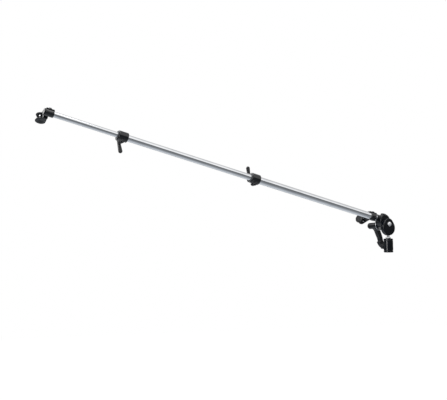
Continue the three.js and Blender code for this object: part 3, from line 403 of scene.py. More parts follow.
# Flat piece cut to an outline
def slabShape(outline, start, end, axis="y", bevel=0.0, bevelSteps=3):
    shape = bmesh.new()
    low = [shape.verts.new((x, y, start)) for x, y in outline]
    high = [shape.verts.new((x, y, end)) for x, y in outline]
    caps = [shape.faces.new(low), shape.faces.new(high)]
    for k in range(len(outline)):
        after = (k + 1) % len(outline)
        shape.faces.new((low[k], low[after], high[after], high[k]))
    bmesh.ops.recalc_face_normals(shape, faces=shape.faces)
    if bevel:
        rims = [edge for cap in caps for edge in cap.edges]
        bmesh.ops.bevel(shape, geom=rims, offset=bevel, segments=bevelSteps, profile=0.5, affect="EDGES",
                        clamp_overlap=True)
    shape.transform(outlineOfAxis[axis])
    bmesh.ops.recalc_face_normals(shape, faces=shape.faces)
    return shape


def boxOutline(left, low, right, high):
    return [(left, low), (right, low), (right, high), (left, high)]


def arcRun(x, y, radius, fromAngle, toAngle, steps):
    angles = [fromAngle + (toAngle - fromAngle) * k / steps for k in range(steps + 1)]
    return [(x + radius * math.cos(angle), y + radius * math.sin(angle)) for angle in angles]


# Egg outline: two circles on a vertical line, joined by their common tangents
def eggOutline(topRadius, topHeight, bottomRadius, bottomHeight, steps):
    lean = math.asin((bottomRadius - topRadius) / (topHeight - bottomHeight))
    top = arcRun(0, topHeight, topRadius, lean, math.pi - lean, steps)
    return top + arcRun(0, bottomHeight, bottomRadius, math.pi - lean, 2 * math.pi + lean, steps)


def placed(shape, place):
    shape.transform(place)
    return shape


def moved(shape, x=0.0, z=0.0):
    return placed(shape, shift(x, 0, z))


def toMesh(shape):
    mesh = bpy.data.meshes.new("work")
    shape.to_mesh(mesh)
    shape.free()
    return mesh


def settledMesh(item):
    return bpy.data.meshes.new_from_object(item.evaluated_get(bpy.context.evaluated_depsgraph_get()))


# Joins or cuts shapes with the exact Boolean modifier
def combine(base, tools, operation):
    target = addObject("work", toMesh(base))
    helpers = [addObject("tool", toMesh(tool)) for tool in tools]
    for helper in helpers:
        step = target.modifiers.new("combine", "BOOLEAN")
        step.operation = operation
        step.solver = "EXACT"
        step.object = helper
    shape = bmesh.new()
    shape.from_mesh(settledMesh(target))
    bmesh.ops.remove_doubles(shape, verts=shape.verts, dist=weld)
    for item in [target, *helpers]:
        bpy.data.objects.remove(item)
    return shape


def fuse(base, *others):
    return combine(base, others, "UNION")


def cutAway(base, *tools):
    return combine(base, tools, "DIFFERENCE")


# Softens the sharp edges, shades the rest smooth and returns a linked object at the origin
def finishShape(shape, name, bevel):
    for face in shape.faces:
        face.smooth = True
    shape.transform(Matrix.Scale(mm, 4))
    work = addObject("work", toMesh(shape))
    if bevel:
        soften = work.modifiers.new("soften", "BEVEL")
        soften.limit_method = "ANGLE"
        soften.angle_limit = softAngle
        soften.width = bevel * mm
        soften.segments = 2
    work.modifiers.new("level", "WEIGHTED_NORMAL").keep_sharp = True
    mesh = settledMesh(work)
    bpy.data.objects.remove(work)
    mesh.name = name
    return addObject(name, mesh)


dressedNodes = set()


# Gives an item the finish of its slot unless another is named, and the body that moves it
def dress(item, slotName, body, finish=None):
    item.data.materials.clear()
    item.data.materials.append(finishes[finish or finishOfSlot[slotName]])
    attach(item, body)


def dressAsNode(item, node, finish=None):
    dress(item, slotOfNode[node], bodyOfNode[node], finish)
    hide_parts(node)
    dressedNodes.add(node)


# Adds the piece that replaces a node, under the node's name in camel case
def addPiece(node, shape, bevel, place, finish=None):
    first, *others = node.split("_")
    name = first + "".join(word.capitalize() for word in others)
    dressAsNode(finishShape(placed(shape, place), name, bevel), node, finish)


# Places of the piece groups, in millimetres
socketPlace = shift()
tiltPlace = shift(z=80)
armPlace = shift(0, 21.6, 94) @ rotation(armTilt, "Y") @ rotation(180, "Z")


def alongArm(distance):
    return armPlace @ shift(distance)


# Socket barrel: bored from below, with a groove near each end
barrelSettings = dict(
    radius=13.2, height=39, bore=8.2, boreDepth=34, edge=1.2, mouthEdge=0.6, rounding=0.45, grooveDepth=0.7,
    grooveWidth=1.8, grooveInset=4, grooveSlope=0.25, screwHeight=18, screwHole=4.3, steps=112,
)


def addBarrel():
    s = Named(**barrelSettings)
    radius, top, edge = s.radius, s.height, s.edge
    bore, depth, slope = s.bore, s.boreDepth, s.grooveSlope
    floor = radius - s.grooveDepth
    outer = [(radius - edge, 0), (radius, edge)]
    for start in (s.grooveInset, top - s.grooveInset - s.grooveWidth):
        end = start + s.grooveWidth
        outer += [(radius, start), (floor, start + slope), (floor, end - slope), (radius, end)]
    outer += [(radius, top - edge), (radius - edge, top)]
    inner = [(0, depth), (bore, depth), (bore, s.mouthEdge), (bore + s.mouthEdge, 0)]
    shape = turnedShape(inner + roundedRun(outer, s.rounding) + [(0, top)], s.steps)
    screwWay = moved(barShape(s.screwHole, 0, radius + past, 48, "y"), z=s.screwHeight)
    studWay = wayShape(s.screwHole, depth, top, 48)
    addPiece("socket_barrel", cutAway(shape, screwWay, studWay), 0.18, socketPlace)


# Round head with scallops for the fingers, turned about its own axis
fluteSettings = dict(steps=12, share=0.55, fullness=0.8)


def flutedHead(radius, start, end, edge, count, depth, axis="z"):
    s = Named(**fluteSettings)
    rows = [(radius - edge, start), (radius, start + edge), (radius, end - edge), (radius - edge, end)]
    around = count * s.steps
    shape = bmesh.new()
    rings = []
    for reach, along in roundedRun(rows, edge):
        ring = []
        for k in range(around):
            part = (k % s.steps) / s.steps
            dip = 0.0
            if part < s.share:
                dip = depth * math.sin(math.pi * part / s.share) ** s.fullness
            ring.append(ringPoint(shape, reach - dip, 2 * math.pi * k / around, along))
        rings.append(ring)
    joinRings(shape, rings, around)
    shape.faces.new(rings[0])
    shape.faces.new(rings[-1])
    bmesh.ops.recalc_face_normals(shape, faces=shape.faces)
    return placed(shape, turnOfAxis[axis])


# Nut or bolt head with its corners turned off, as a lathe leaves them
nutSettings = dict(edge=0.13, slope=0.6, over=0.01)


def nutShape(radius, start, end, bore=0.0, axis="z", deepStart=False):
    prism = barShape(radius, start, end, 6)
    edge, over = radius * nutSettings["edge"], nutSettings["over"]
    slope = edge * nutSettings["slope"]
    low = start + slope * (2 if deepStart else 1)
    turning = [
        (0, start - over), (radius - edge, start - over), (radius + over, low),
        (radius + over, end - slope), (radius - edge, end + over), (0, end + over),
    ]
    shape = combine(prism, [turnedShape(turning, 64)], "INTERSECT")
    if bore:
        shape = cutAway(shape, wayShape(bore, start, end, 40))
    return placed(shape, turnOfAxis[axis])


# Thumb screw in the barrel's wall
lockScrewSettings = dict(
    radius=4, height=18, start=8.5, shoulder=13.5, headStart=16, headEnd=27, neck=5.5, neckOverlap=1,
    rounding=0.4, head=7.5, edge=1.0, flutes=8, fluteDepth=0.9, dimple=4.2, dimpleDepth=0.8,
    dimpleSlope=0.6,
)


def addLockScrew():
    s = Named(**lockScrewSettings)
    neckEnd = s.headStart + s.neckOverlap
    stem = roundedTurn([
        (0, s.start), (s.radius, s.start), (s.radius, s.shoulder),
        (s.neck, s.shoulder), (s.neck, neckEnd), (0, neckEnd),
    ], s.rounding, 64, "y")
    head = flutedHead(s.head, s.headStart, s.headEnd, s.edge, s.flutes, s.fluteDepth, "y")
    floor, above = s.headEnd - s.dimpleDepth, s.headEnd + 1
    rim = s.dimple + s.dimpleSlope
    dish = turnedShape([(0, floor), (s.dimple, floor), (rim, above), (0, above)], 64, "y")
    shape = cutAway(fuse(stem, head), dish)
    addPiece("socket_lock_screw", shape, 0.15, shift(z=s.height))


# Lower knuckle: an egg-shaped plate, with a seat for the nut on the camera side
lowerKnuckleSettings = dict(
    crown=17, bowl=22.3, bowlDrop=9.6, front=-6, back=7, edge=2.4, seatDepth=1.6, seatRadius=8,
    boltHole=3.3, studHole=4.3, studDepth=13.3,
)


def addLowerKnuckle():
    s = Named(**lowerKnuckleSettings)
    outline = eggOutline(s.crown, 0, s.bowl, -s.bowlDrop, 40)
    plate = slabShape(outline, s.front, s.back, "y", s.edge, 5)
    seat = barShape(s.seatRadius, s.front - past, s.front + s.seatDepth, 64, "y")
    boltWay = wayShape(s.boltHole, s.front, s.back, 40, "y")
    bottom = -s.bowlDrop - s.bowl
    studWay = barShape(s.studHole, bottom - past, bottom + s.studDepth, 40)
    addPiece("lower_knuckle", cutAway(plate, seat, boltWay, studWay), 0.25, tiltPlace)


# Cap nut on the bolt's front end: six flats under a dome
capNutSettings = dict(
    radius=7, dome=5.6, domeSteps=8, front=-10.2, domeStart=-8.0, back=-4.7, bore=3.3, boltFront=-8.0,
    boltGap=0.3,
)


def addCapNut():
    s = Named(**capNutSettings)
    hexagon = nutShape(s.radius, s.domeStart, s.back, 0, "y")
    rise = s.domeStart - s.front
    turns = [math.pi / 2 * k / s.domeSteps for k in range(1, s.domeSteps + 1)]
    arc = [(s.dome * math.sin(turn), s.domeStart - rise * math.cos(turn)) for turn in turns]
    dome = turnedShape([(0, s.front), *arc, (s.dome, s.back), (0, s.back)], 64, "y")
    bore = barShape(s.bore, s.boltFront - s.boltGap, s.back + past, 40, "y")
    addPiece("cap_nut", cutAway(fuse(hexagon, dome), bore), 0.15, tiltPlace, "satinNickel")


# Upper knuckle: a drum across the tilt bolt, and a boss for the arm's spindle
upperKnuckleSettings = dict(
    radius=18, rise=11.5, front=9.0, back=34.0, edge=2.6, boss=12.5, bossBack=-16, bossEdge=1.6, nose=9.8,
    noseReach=18.6, noseEdge=0.6, boltHole=3.3, spindleHole=5.3, nutSeat=9.2, nutFloor=-11.3, knobSeat=8.6,
    knobFloor=12.4, knobHole=2.8, wayEnd=40,
)


def addUpperKnuckle():
    s = Named(**upperKnuckleSettings)
    outline = arcRun(0, s.rise, s.radius, 0, 2 * math.pi, 112)[:-1]
    drum = placed(slabShape(outline, s.front, s.back, "y", s.edge, 5), tiltPlace)
    rear = roundedRun([(0, s.bossBack), (s.boss, s.bossBack), (s.boss, 0)], s.bossEdge, 4)
    nose = roundedRun([(s.nose, 0), (s.nose, s.noseReach), (0, s.noseReach)], s.noseEdge)
    boss = placed(turnedShape(rear + nose, 96, "x"), armPlace)
    boltWay = placed(wayShape(s.boltHole, s.front, s.back, 40, "y"), tiltPlace)
    end = s.wayEnd
    armWays = [placed(way, armPlace) for way in (
        barShape(s.spindleHole, -end, end, 48, "x"), barShape(s.nutSeat, -end, s.nutFloor, 64, "x"),
        barShape(s.knobSeat, s.knobFloor, end, 64), barShape(s.knobHole, 0, s.knobFloor + past, 40),
    )]
    addPiece("upper_knuckle", cutAway(fuse(drum, boss), boltWay, *armWays), 0.3, socketPlace)


addBarrel()
addLockScrew()
addLowerKnuckle()
addCapNut()
addUpperKnuckle()
print("head made")


# Lock lever: a hub round the bolt, and a bent handle that hangs down behind the socket
leverSettings = dict(
    hub=9, front=36.1, back=78.1, crown=2.4, crownStart=0.5, rounding=0.4, grooveAt=67.1, grooveWidth=2,
    grooveDepth=0.8, grooveSlope=0.3, handleFront=50.1, handleBack=64.6, edge=4.2, insertHole=5.3,
    insertEnd=61.7, flangeHole=6.8, flangeEnd=37.9,
    outline=[
        (0, 3), (8.6, -1.2), (16.8, -13.6), (23, -28.2), (27.2, -42.4), (30, -50), (36, -52.8),
        (44.2, -53.5), (48.4, -56.4), (48.8, -61.8), (46, -65.7), (38, -66.4), (30, -64.2), (20.8, -58.2),
        (15, -49.6), (14.4, -46.6), (17.4, -44.2), (14.6, -35.6), (9.8, -26.6), (3.2, -13.4), (-5.6, -6.6),
    ],
)


# Smooth closed run through given points
def smoothLoop(points, steps=6):
    count = len(points)
    run = []
    for index in range(count):
        p0, p1, p2, p3 = (Vector(points[(index + shift) % count]) for shift in (-1, 0, 1, 2))
        bend = 2 * p0 - 5 * p1 + 4 * p2 - p3
        twist = 3 * p1 - p0 - 3 * p2 + p3
        for step in range(steps):
            t = step / steps
            place = 0.5 * (2 * p1 + (p2 - p0) * t + bend * t ** 2 + twist * t ** 3)
            run.append((place.x, place.y))
    return run


def addLever():
    s = Named(**leverSettings)
    radius, start, slope = s.hub, s.grooveAt, s.grooveSlope
    end = start + s.grooveWidth
    floor = radius - s.grooveDepth
    profile = roundedRun([
        (0, s.front), (radius, s.front), (radius, start),
        (floor, start + slope), (floor, end - slope), (radius, end),
    ], s.rounding)
    profile += roundedRun([(radius, end + s.crownStart), (radius, s.back), (0, s.back)], s.crown, 6)
    hub = turnedShape(profile, 96, "y")
    handle = slabShape(smoothLoop(s.outline), s.handleFront, s.handleBack, "y", s.edge, 6)
    insertWay = barShape(s.insertHole, s.front - past, s.insertEnd, 48, "y")
    flangeWay = barShape(s.flangeHole, s.front - past, s.flangeEnd, 48, "y")
    addPiece("lock_lever", cutAway(fuse(hub, handle), insertWay, flangeWay), 0.2, tiltPlace)


# Roll joint: nut behind the knuckle, the fluted lock knob on top, and a black ferrule on the tube's end
rollSettings = dict(
    shaft=5, nut=8, nutStart=-16, nutEnd=-11.6, tail=-18, outerStart=20.4, plugEnd=47.4, plug=8.0, edge=0.6,
    play=0.3, knob=7.6, knobStart=12.7, knobEnd=17.9, knobEdge=0.9, flutes=10, fluteDepth=0.7,
    knobScrew=2.5, screwOverlap=1, ferruleBore=9.46, ferrule=10.7, ferruleStart=20.6, ferruleEnd=27.4,
    ferruleEdge=0.4,
)


def addRollJoint():
    s = Named(**rollSettings)
    shaft = roundedTurn([
        (0, s.tail), (s.shaft, s.tail), (s.shaft, s.outerStart), (s.plug, s.outerStart),
        (s.plug, s.plugEnd), (0, s.plugEnd),
    ], s.edge, 64, "x")
    addPiece("roll_spindle", shaft, 0, armPlace)
    nut = nutShape(s.nut, s.nutStart, s.nutEnd, s.shaft + s.play, "x", True)
    addPiece("spindle_nut", nut, 0.12, armPlace)
    head = flutedHead(s.knob, s.knobStart, s.knobEnd, s.knobEdge, s.flutes, s.fluteDepth)
    screw = barShape(s.knobScrew, s.shaft + s.play, s.knobStart + s.screwOverlap, 40)
    addPiece("roll_knob", fuse(head, screw), 0.12, armPlace)
    ferrule = tubeShape(s.ferruleBore, s.ferrule, s.ferruleStart, s.ferruleEnd, 96, "x", s.ferruleEdge)
    item = finishShape(placed(ferrule, armPlace), "tubeFerrule", 0)
    dress(item, "moulded_black", bodyOfNode["outer_tube"])


# Drawn tubes, each with a rolled edge at its ends. The two outer ones have a hole for their collar's shoe.
tubeSettings = {
    "outer_tube": Named(radius=9.5, wall=1.2, start=20.4, end=450.4, shoeAt=444.4),
    "middle_tube": Named(radius=8.0, wall=1.2, start=397.4, end=827.4, shoeAt=821.4),
    "inner_tube": Named(radius=6.5, wall=1.0, start=582.4, end=1012.4, shoeAt=None),
}
tubeFinish = dict(steps=144, edge=0.4, shoeHole=2.9, shoeRoom=4.2)


def addTube(node, s):
    f = Named(**tubeFinish)
    inner = s.radius - s.wall
    stops = [s.start, s.end]
    if s.shoeAt:
        stops[1:1] = [s.shoeAt - f.shoeRoom, s.shoeAt + f.shoeRoom]
    outside = [(s.radius, stop) for stop in stops]
    inside = [(inner, stop) for stop in reversed(stops)]
    profile = roundedRun(outside + inside, f.edge, closed=True)
    shape = turnedShape(profile + profile[:1], f.steps, "x")
    if s.shoeAt:
        shape = cutAway(shape, moved(barShape(f.shoeHole, -s.radius - past, 0, 40, "y"), x=s.shoeAt))
    addPiece(node, shape, 0, armPlace)


endCapSettings = dict(plug=5.2, start=1000.4, rimStart=1012.7, rim=7.7, rimLow=0.3, end=1015.3, crown=1.8)


def addEndCap():
    s = Named(**endCapSettings)
    plug = [(0, s.start), (s.plug, s.start), (s.plug, s.rimStart), (s.rim, s.rimStart)]
    crown = roundedRun([(s.rim, s.rimStart + s.rimLow), (s.rim, s.end), (0, s.end)], s.crown, 6)
    addPiece("end_cap", turnedShape(plug + crown, 96, "x"), 0.1, armPlace)


addLever()
addRollJoint()
for tubeName, tube in tubeSettings.items():
    addTube(tubeName, tube)
addEndCap()
print("lever, roll joint and tubes made")

# Lock collar: a split sleeve with two ears for the pinch bolt, and a boss for the wing screw
collarSettings = dict(
    length=24, play=0.3, wall=3.6, edge=1.0, slot=2, ear=5.2, earDrop=3.6, earSpread=15, earEdge=1.2,
    boss=6, bossReach=3.4, bossEdge=0.8, boltHole=2.3, seat=4.1, screwHole=2.7,
)
wingSettings = dict(
    hub=5.6, length=12, crown=1.4, bladeLength=36, bladeWidth=10, neckWidth=6.4, thickness=6, edge=2.2,
    inset=1.4, hold=9.3,
)
boltSettings = dict(
    shank=2, head=3.8, headHeight=2.4, headEdge=0.7, key=1.9, keyDepth=1.4, nutHeight=2.6, gap=0.3,
)
collarPlaces = {
    "2": Named(centre=444.4, tube=9.5, standOff=0.8, turn=200),
    "1": Named(centre=821.4, tube=8.0, standOff=5, turn=23.6),
}


def addLockCollar(suffix, at):
    s = Named(**collarSettings)
    place = alongArm(at.centre)
    bore = at.tube + s.play
    outside = bore + s.wall
    half = s.length / 2
    earCentre = -(bore + s.earDrop)
    earHalf = s.earSpread / 2
    bossEnd = outside + s.bossReach
    ring = tubeShape(bore, outside, -half, half, 112, "x", s.edge, 4)
    ear = [(-s.ear, -bore), *arcRun(0, earCentre, s.ear, math.pi, 2 * math.pi, 32), (s.ear, -bore)]
    ears = slabShape(ear, -earHalf, earHalf, "y", s.earEdge, 4)
    boss = barShape(s.boss, -bossEnd, -bore, 80, "y", s.bossEdge, 4)
    tubeWay = wayShape(bore, -half, half, 112, "x")
    slit = boxOutline(-half - past, earCentre - 2 * s.ear, half + past, 0)
    slot = slabShape(slit, -s.slot / 2, s.slot / 2)
    boltWay = moved(barShape(s.boltHole, -s.earSpread, s.earSpread, 40, "y"), z=earCentre)
    seats = [moved(barShape(s.seat, *ends, 48, "y"), z=earCentre)
             for ends in ((earHalf, 2 * outside), (-2 * outside, -earHalf))]
    wingWay = barShape(s.screwHole, -bossEnd - past, 0, 40, "y")
    body = cutAway(fuse(ring, ears, boss), tubeWay, slot, boltWay, wingWay, *seats)
    addPiece("lock_collar_" + suffix, body, 0.22, place, "polishedBlack")

    b = Named(**boltSettings)
    headStart = earHalf + b.gap
    headEnd = headStart + b.headHeight
    shank = barShape(b.shank, -headStart - 1, headStart + 1, 40, "y")
    head = barShape(b.head, headStart, headEnd, 56, "y", b.headEdge, 4)
    key = nutShape(b.key, headEnd - b.keyDepth, headEnd + 1, 0, "y")
    nut = nutShape(b.head, -headStart - b.nutHeight, -headStart, 0, "y")
    bolt = moved(fuse(shank, cutAway(head, key), nut), z=earCentre)
    addPiece("pinch_bolt_" + suffix, bolt, 0.1, place, "blackedSteel")

    w = Named(**wingSettings)
    hubStart = bossEnd + at.standOff
    hubEnd = hubStart + w.length
    hub = barShape(w.hub, -hubEnd, -hubStart, 80, "y", w.crown, 5)
    tip = w.bladeLength - w.bladeWidth / 2
    outline = eggOutline(w.neckWidth / 2, 0, w.bladeWidth / 2, -tip, 28)
    bladeBack = hubEnd - w.inset
    blade = slabShape(outline, -bladeBack, w.thickness - bladeBack, "y", w.edge, 5)
    blade.transform(rotation(at.turn, "Y"))
    seat = barShape(s.screwHole, -hubStart - w.hold, -hubStart + past, 40, "y")
    addPiece("wing_" + suffix, cutAway(fuse(hub, blade), seat), 0.15, place, "polishedBlack")


for collarName, collarPlace in collarPlaces.items():
    addLockCollar(collarName, collarPlace)
print("lock collars made")

# Spring clips. In a clip's own frame Z runs out along its post, Y is up and X is along the arm.
clipSettings = dict(
    roll=13.4, wall=1.9, edge=0.5, plateWidth=13, plateThickness=2.6, plateCorner=2.2, plateProud=0.5,
    plateEdge=0.6, boss=5.4, bossHeight=1.5, bossEdge=0.5, floor=1.2, post=2.5, postEdge=0.3, flange=5.4,
    flangeThickness=2, flangeRoom=0.5, plateCut=4, wayRoom=5, tail=0.6, nut=4.2, nutHeight=2.4, gap=0.3,
    screw=2, screwHead=3.6, screwHeight=2.4, screwEdge=0.6, key=1.5, keyDepth=1.4,
)
jawSettings = dict(
    root=5.5, rootLength=7, rootEdge=0.5, rootOutline=6.4, hingeOutline=4.6, pad=12, reach=22.5,
    thickness=4, edge=1.7, overlap=2.3, mouth=7, hingeFromRoot=7.4, eye=3, eyeThickness=1.7, earThickness=2,
    spring=5.8, tailReach=8.6, tailSpread=6.2, tailThickness=3.4, tailWidth=9, tailKnob=2.7, knobEdge=0.4,
    pin=1.2, pinHead=2.1, pinHeadThickness=0.9, pinEdge=0.35,
)
padSettings = dict(inset=1.7, thickness=1.6, rootCut=4, edge=0.35)
clipPlaces = {
    "right": Named(along=38.6, tube=9.5, lean=18, turn=0, sleeve=(-6.5, 10.5), plate=(-10, 16)),
    "left": Named(along=1002.4, tube=6.5, lean=13, turn=90, sleeve=(-10, 10), plate=(-10, 10)),
}


def clipPlace(at, turned=True):
    place = alongArm(at.along) @ rotation(clipSettings["roll"], "X")
    place = place @ rotation(at.lean, "Z") @ rotation(90, "X")
    return place @ rotation(at.turn, "Z") if turned else place


def addClipCollar(side, at):
    s = Named(**clipSettings)
    gap = s.gap
    bore = at.tube + gap
    outside = bore + s.wall
    top = outside + s.plateProud
    sleeve = tubeShape(bore, outside, *at.sleeve, 112, "x", s.edge)
    near, far = at.plate
    halfWidth = s.plateWidth / 2
    outline = roundedRun(boxOutline(near, -halfWidth, far, halfWidth), s.plateCorner, 5, True)
    plate = slabShape(outline, top - s.plateThickness, top, "z", s.plateEdge)
    bossEnd = outside + s.bossHeight
    turnBack = shift(-at.along) @ armPlace.inverted() @ clipPlace(at, False)
    boss = placed(barShape(s.boss, bore, bossEnd, 64, bevel=s.bossEdge), turnBack)
    tubeWay = barShape(bore, near - s.wayRoom, far + s.wayRoom, 112, "x")
    flangeWay = placed(barShape(s.flange + s.flangeRoom, bossEnd, bossEnd + s.plateCut, 64), turnBack)
    postWay = placed(barShape(s.post + gap, bore + s.floor - gap, bossEnd + past, 40), turnBack)
    screwWay = barShape(s.screw + gap, 0, top + past, 40)
    body = cutAway(fuse(sleeve, plate, boss), tubeWay, postWay, screwWay, flangeWay)
    addPiece(side + "_clip_collar", body, 0.12, alongArm(at.along), "polishedBlack")

    headStart = top + gap
    headEnd = headStart + s.screwHeight
    shank = barShape(s.screw, bore, headStart + 0.5, 40)
    head = barShape(s.screwHead, headStart, headEnd, 56, bevel=s.screwEdge)
    key = nutShape(s.key, headEnd - s.keyDepth, headEnd + 1)
    screw = cutAway(fuse(shank, head), key)
    addPiece(side + "_clip_screw", screw, 0.08, alongArm(at.along), "blackedSteel")


# Two ears or eyes for the hinge pin on a jaw's plate. Their side is 1 on the fixed jaw, -1 on the other.
def hingeEars(plateAt, hingeAt, start, end, side):
    radius = jawSettings["eye"]
    turn = arcRun(0, hingeAt, radius, -math.pi / 2, math.pi / 2, 20)
    points = [(-plateAt, hingeAt - radius), *turn, (-plateAt, hingeAt + radius)]
    outline = [(side * x, z) for x, z in points]
    return [slabShape(outline, *ends) for ends in ((start, end), (-end, -start))]


def padOutline(centre):
    radius = jawSettings["pad"] - padSettings["inset"]
    cutAngle = math.asin(padSettings["rootCut"] / radius)
    return arcRun(0, centre, radius, -cutAngle, math.pi + cutAngle, 56)


def addClip(side, at):
    s = Named(**clipSettings)
    j = Named(**jawSettings)
    gap = s.gap
    place = clipPlace(at)
    postStart = at.tube + gap + s.floor
    flangeStart = at.tube + gap + s.wall + s.bossHeight + gap
    flangeEnd = flangeStart + s.flangeThickness
    rootStart = flangeEnd + gap
    rootEnd = rootStart + j.rootLength
    nutStart = rootEnd + gap
    nutEnd = nutStart + s.nutHeight
    post = roundedTurn([
        (0, postStart), (s.post, postStart), (s.post, flangeStart), (s.flange, flangeStart),
        (s.flange, flangeEnd), (s.post, flangeEnd), (s.post, nutEnd + s.tail), (0, nutEnd + s.tail),
    ], s.postEdge, 64)
    addPiece(side + "_clip_post", post, 0, place, "blackedSteel")
    nut = nutShape(s.nut, nutStart, nutEnd, s.post + gap, deepStart=True)
    addPiece(side + "_post_nut", nut, 0.1, place, "blackedSteel")

    jawInner = j.mouth / 2 + padSettings["thickness"] + gap
    jawOuter = jawInner + j.thickness
    plateAt = jawInner + j.overlap
    hingeAt = rootEnd + j.hingeFromRoot
    padCentre = rootStart + j.reach
    eyeStart = j.spring / 2
    eyeEnd = eyeStart + j.eyeThickness
    earStart = eyeEnd + gap
    earEnd = earStart + j.earThickness
    pinWays = [moved(wayShape(j.pin + gap, -earEnd, earEnd, 32, "y"), z=hingeAt) for jaw in range(2)]

    outline = eggOutline(j.pad, padCentre, j.rootOutline, rootStart + j.rootOutline, 32)
    plate = slabShape(outline, -jawOuter, -jawInner, "x", j.edge, 4)
    root = barShape(j.root, rootStart, rootEnd, 64, bevel=j.rootEdge)
    web = slabShape(boxOutline(-plateAt, -j.root, 0, j.root), rootStart, rootEnd, "z")
    ears = hingeEars(plateAt, hingeAt, earStart, earEnd, 1)
    postWay = wayShape(s.post + gap, rootStart, rootEnd, 40)
    addPiece(side + "_fixed_jaw", cutAway(fuse(plate, root, web, *ears), postWay, pinWays[0]), 0.18, place)

    outline = eggOutline(j.pad, padCentre, j.hingeOutline, hingeAt, 32)
    plate = slabShape(outline, jawInner, jawOuter, "x", j.edge, 4)
    eyes = hingeEars(plateAt, hingeAt, eyeStart, eyeEnd, -1)
    tailRoot = (jawInner + jawOuter) / 2
    tailEnd = tailRoot + j.tailSpread
    tailLow = hingeAt - j.tailReach
    half = j.tailThickness / 2
    width = (-j.tailWidth / 2, j.tailWidth / 2)
    tail = slabShape([
        (tailRoot - half, hingeAt + half), (tailRoot - half, hingeAt), (tailEnd - half, tailLow),
        (tailEnd + half, tailLow), (tailRoot + half, hingeAt + half),
    ], *width)
    knob = moved(barShape(j.tailKnob, *width, 48, "y", j.knobEdge), x=tailEnd, z=tailLow)
    addPiece(side + "_moving_jaw", cutAway(fuse(plate, *eyes, tail, knob), pinWays[1]), 0.18, place)

    padStart = j.mouth / 2
    padEnd = padStart + padSettings["thickness"]
    for name, ends in (("fixed", (-padEnd, -padStart)), ("moving", (padStart, padEnd))):
        pad = slabShape(padOutline(padCentre), *ends, "x", padSettings["edge"])
        addPiece(f"{side}_{name}_pad", pad, 0, place)

    pinHead = earEnd + gap
    pinEnd = pinHead + j.pinHeadThickness
    pin = roundedTurn([
        (0, -pinEnd), (j.pinHead, -pinEnd), (j.pinHead, -pinHead), (j.pin, -pinHead), (j.pin, pinHead),
        (j.pinHead, pinHead), (j.pinHead, pinEnd), (0, pinEnd),
    ], j.pinEdge, 48, "y")
    addPiece(side + "_hinge_pin", moved(pin, z=hingeAt), 0, place)
    return hingeAt, padCentre


clipHeights = {}
for clipSide, clipAt in clipPlaces.items():
    addClipCollar(clipSide, clipAt)
    clipHeights[clipSide] = addClip(clipSide, clipAt)
print("clips made")

# Geometry Nodes: each tree takes its sizes in millimetres as named inputs
threadSizes = {"Radius": 2.4, "Turns": 6.0, "Pitch": 0.62, "Ridge": 0.24}
coilSizes = {"Radius": 2.15, "Turns": 3.5, "Height": 4.41, "Leg": 2.8, "Wire": 0.38}
ribSizes = {"Count": 6, "Spacing": 2.0, "Width": 11.0, "Radius": 0.45}
nubSizes = {"Radius": 9.2, "Rows": 11, "Nub": 0.5, "Cut": -3.2}


def newTree(name, sizes):
    tree = bpy.data.node_groups.new(name, "GeometryNodeTree")
    tree.interface.new_socket("Geometry", in_out="INPUT", socket_type="NodeSocketGeometry")
    for label, value in sizes.items():
        kind = "NodeSocketInt" if isinstance(value, int) else "NodeSocketFloat"
        tree.interface.new_socket(label, in_out="INPUT", socket_type=kind).default_value = value
    tree.interface.new_socket("Geometry", in_out="OUTPUT", socket_type="NodeSocketGeometry")
    return tree, addNode(tree, "NodeGroupInput").outputs


def closeTree(tree, geometry, slotName):
    real = addNode(tree, "GeometryNodeRealizeInstances", {"Geometry": geometry})
    finish = addNode(tree, "GeometryNodeSetMaterial", {
        "Geometry": real, "Material": finishes[finishOfSlot[slotName]],
    })
    addNode(tree, "NodeGroupOutput", {"Geometry": finish})
    return tree


def vectorOf(tree, x=0.0, y=0.0, z=0.0):
    return addNode(tree, "ShaderNodeCombineXYZ", {"X": x, "Y": y, "Z": z})


def smoothShaded(tree, mesh):
    return addNode(tree, "GeometryNodeSetShadeSmooth", {"Geometry": mesh})


# Wire of round section along a curve
def sweep(tree, curve, radius, sides):
    section = addNode(tree, "GeometryNodeCurvePrimitiveCircle", {"Resolution": sides, "Radius": radius})
    wire = addNode(tree, "GeometryNodeCurveToMesh", {
        "Curve": curve, "Profile Curve": section, "Fill Caps": True,
    })
    return smoothShaded(tree, wire)


def spiral(tree, radius, turns, height, reverse):
    return addNode(tree, "GeometryNodeCurveSpiral", {
        "Resolution": 32, "Rotations": turns, "Start Radius": radius, "End Radius": radius, "Height": height,
        "Reverse": reverse,
    })


# Thread: one ridge wound up a bar
def makeThreadTree():
    tree, sizes = newTree("thread", threadSizes)
    height = calculate(tree, "MULTIPLY", sizes["Turns"], sizes["Pitch"])
    curve = spiral(tree, sizes["Radius"], sizes["Turns"], height, False)
    return closeTree(tree, sweep(tree, curve, sizes["Ridge"], 6), "bright_steel")


# Torsion spring: a coil with a straight leg at each end
def makeCoilTree():
    tree, sizes = newTree("coil", coilSizes)
    curve = spiral(tree, sizes["Radius"], sizes["Turns"], sizes["Height"], True)
    farSide = calculate(tree, "MULTIPLY", sizes["Radius"], -1.0)
    parts = addNode(tree, "GeometryNodeJoinGeometry", {"Geometry": curve})
    for x, z in ((sizes["Radius"], 0.0), (farSide, sizes["Height"])):
        leg = addNode(tree, "GeometryNodeCurvePrimitiveLine", {
            "Start": vectorOf(tree, x, 0.0, z), "End": vectorOf(tree, x, sizes["Leg"], z),
        })
        feed(tree, parts, {"Geometry": leg})
    return closeTree(tree, sweep(tree, parts, sizes["Wire"], 16), "bright_steel")


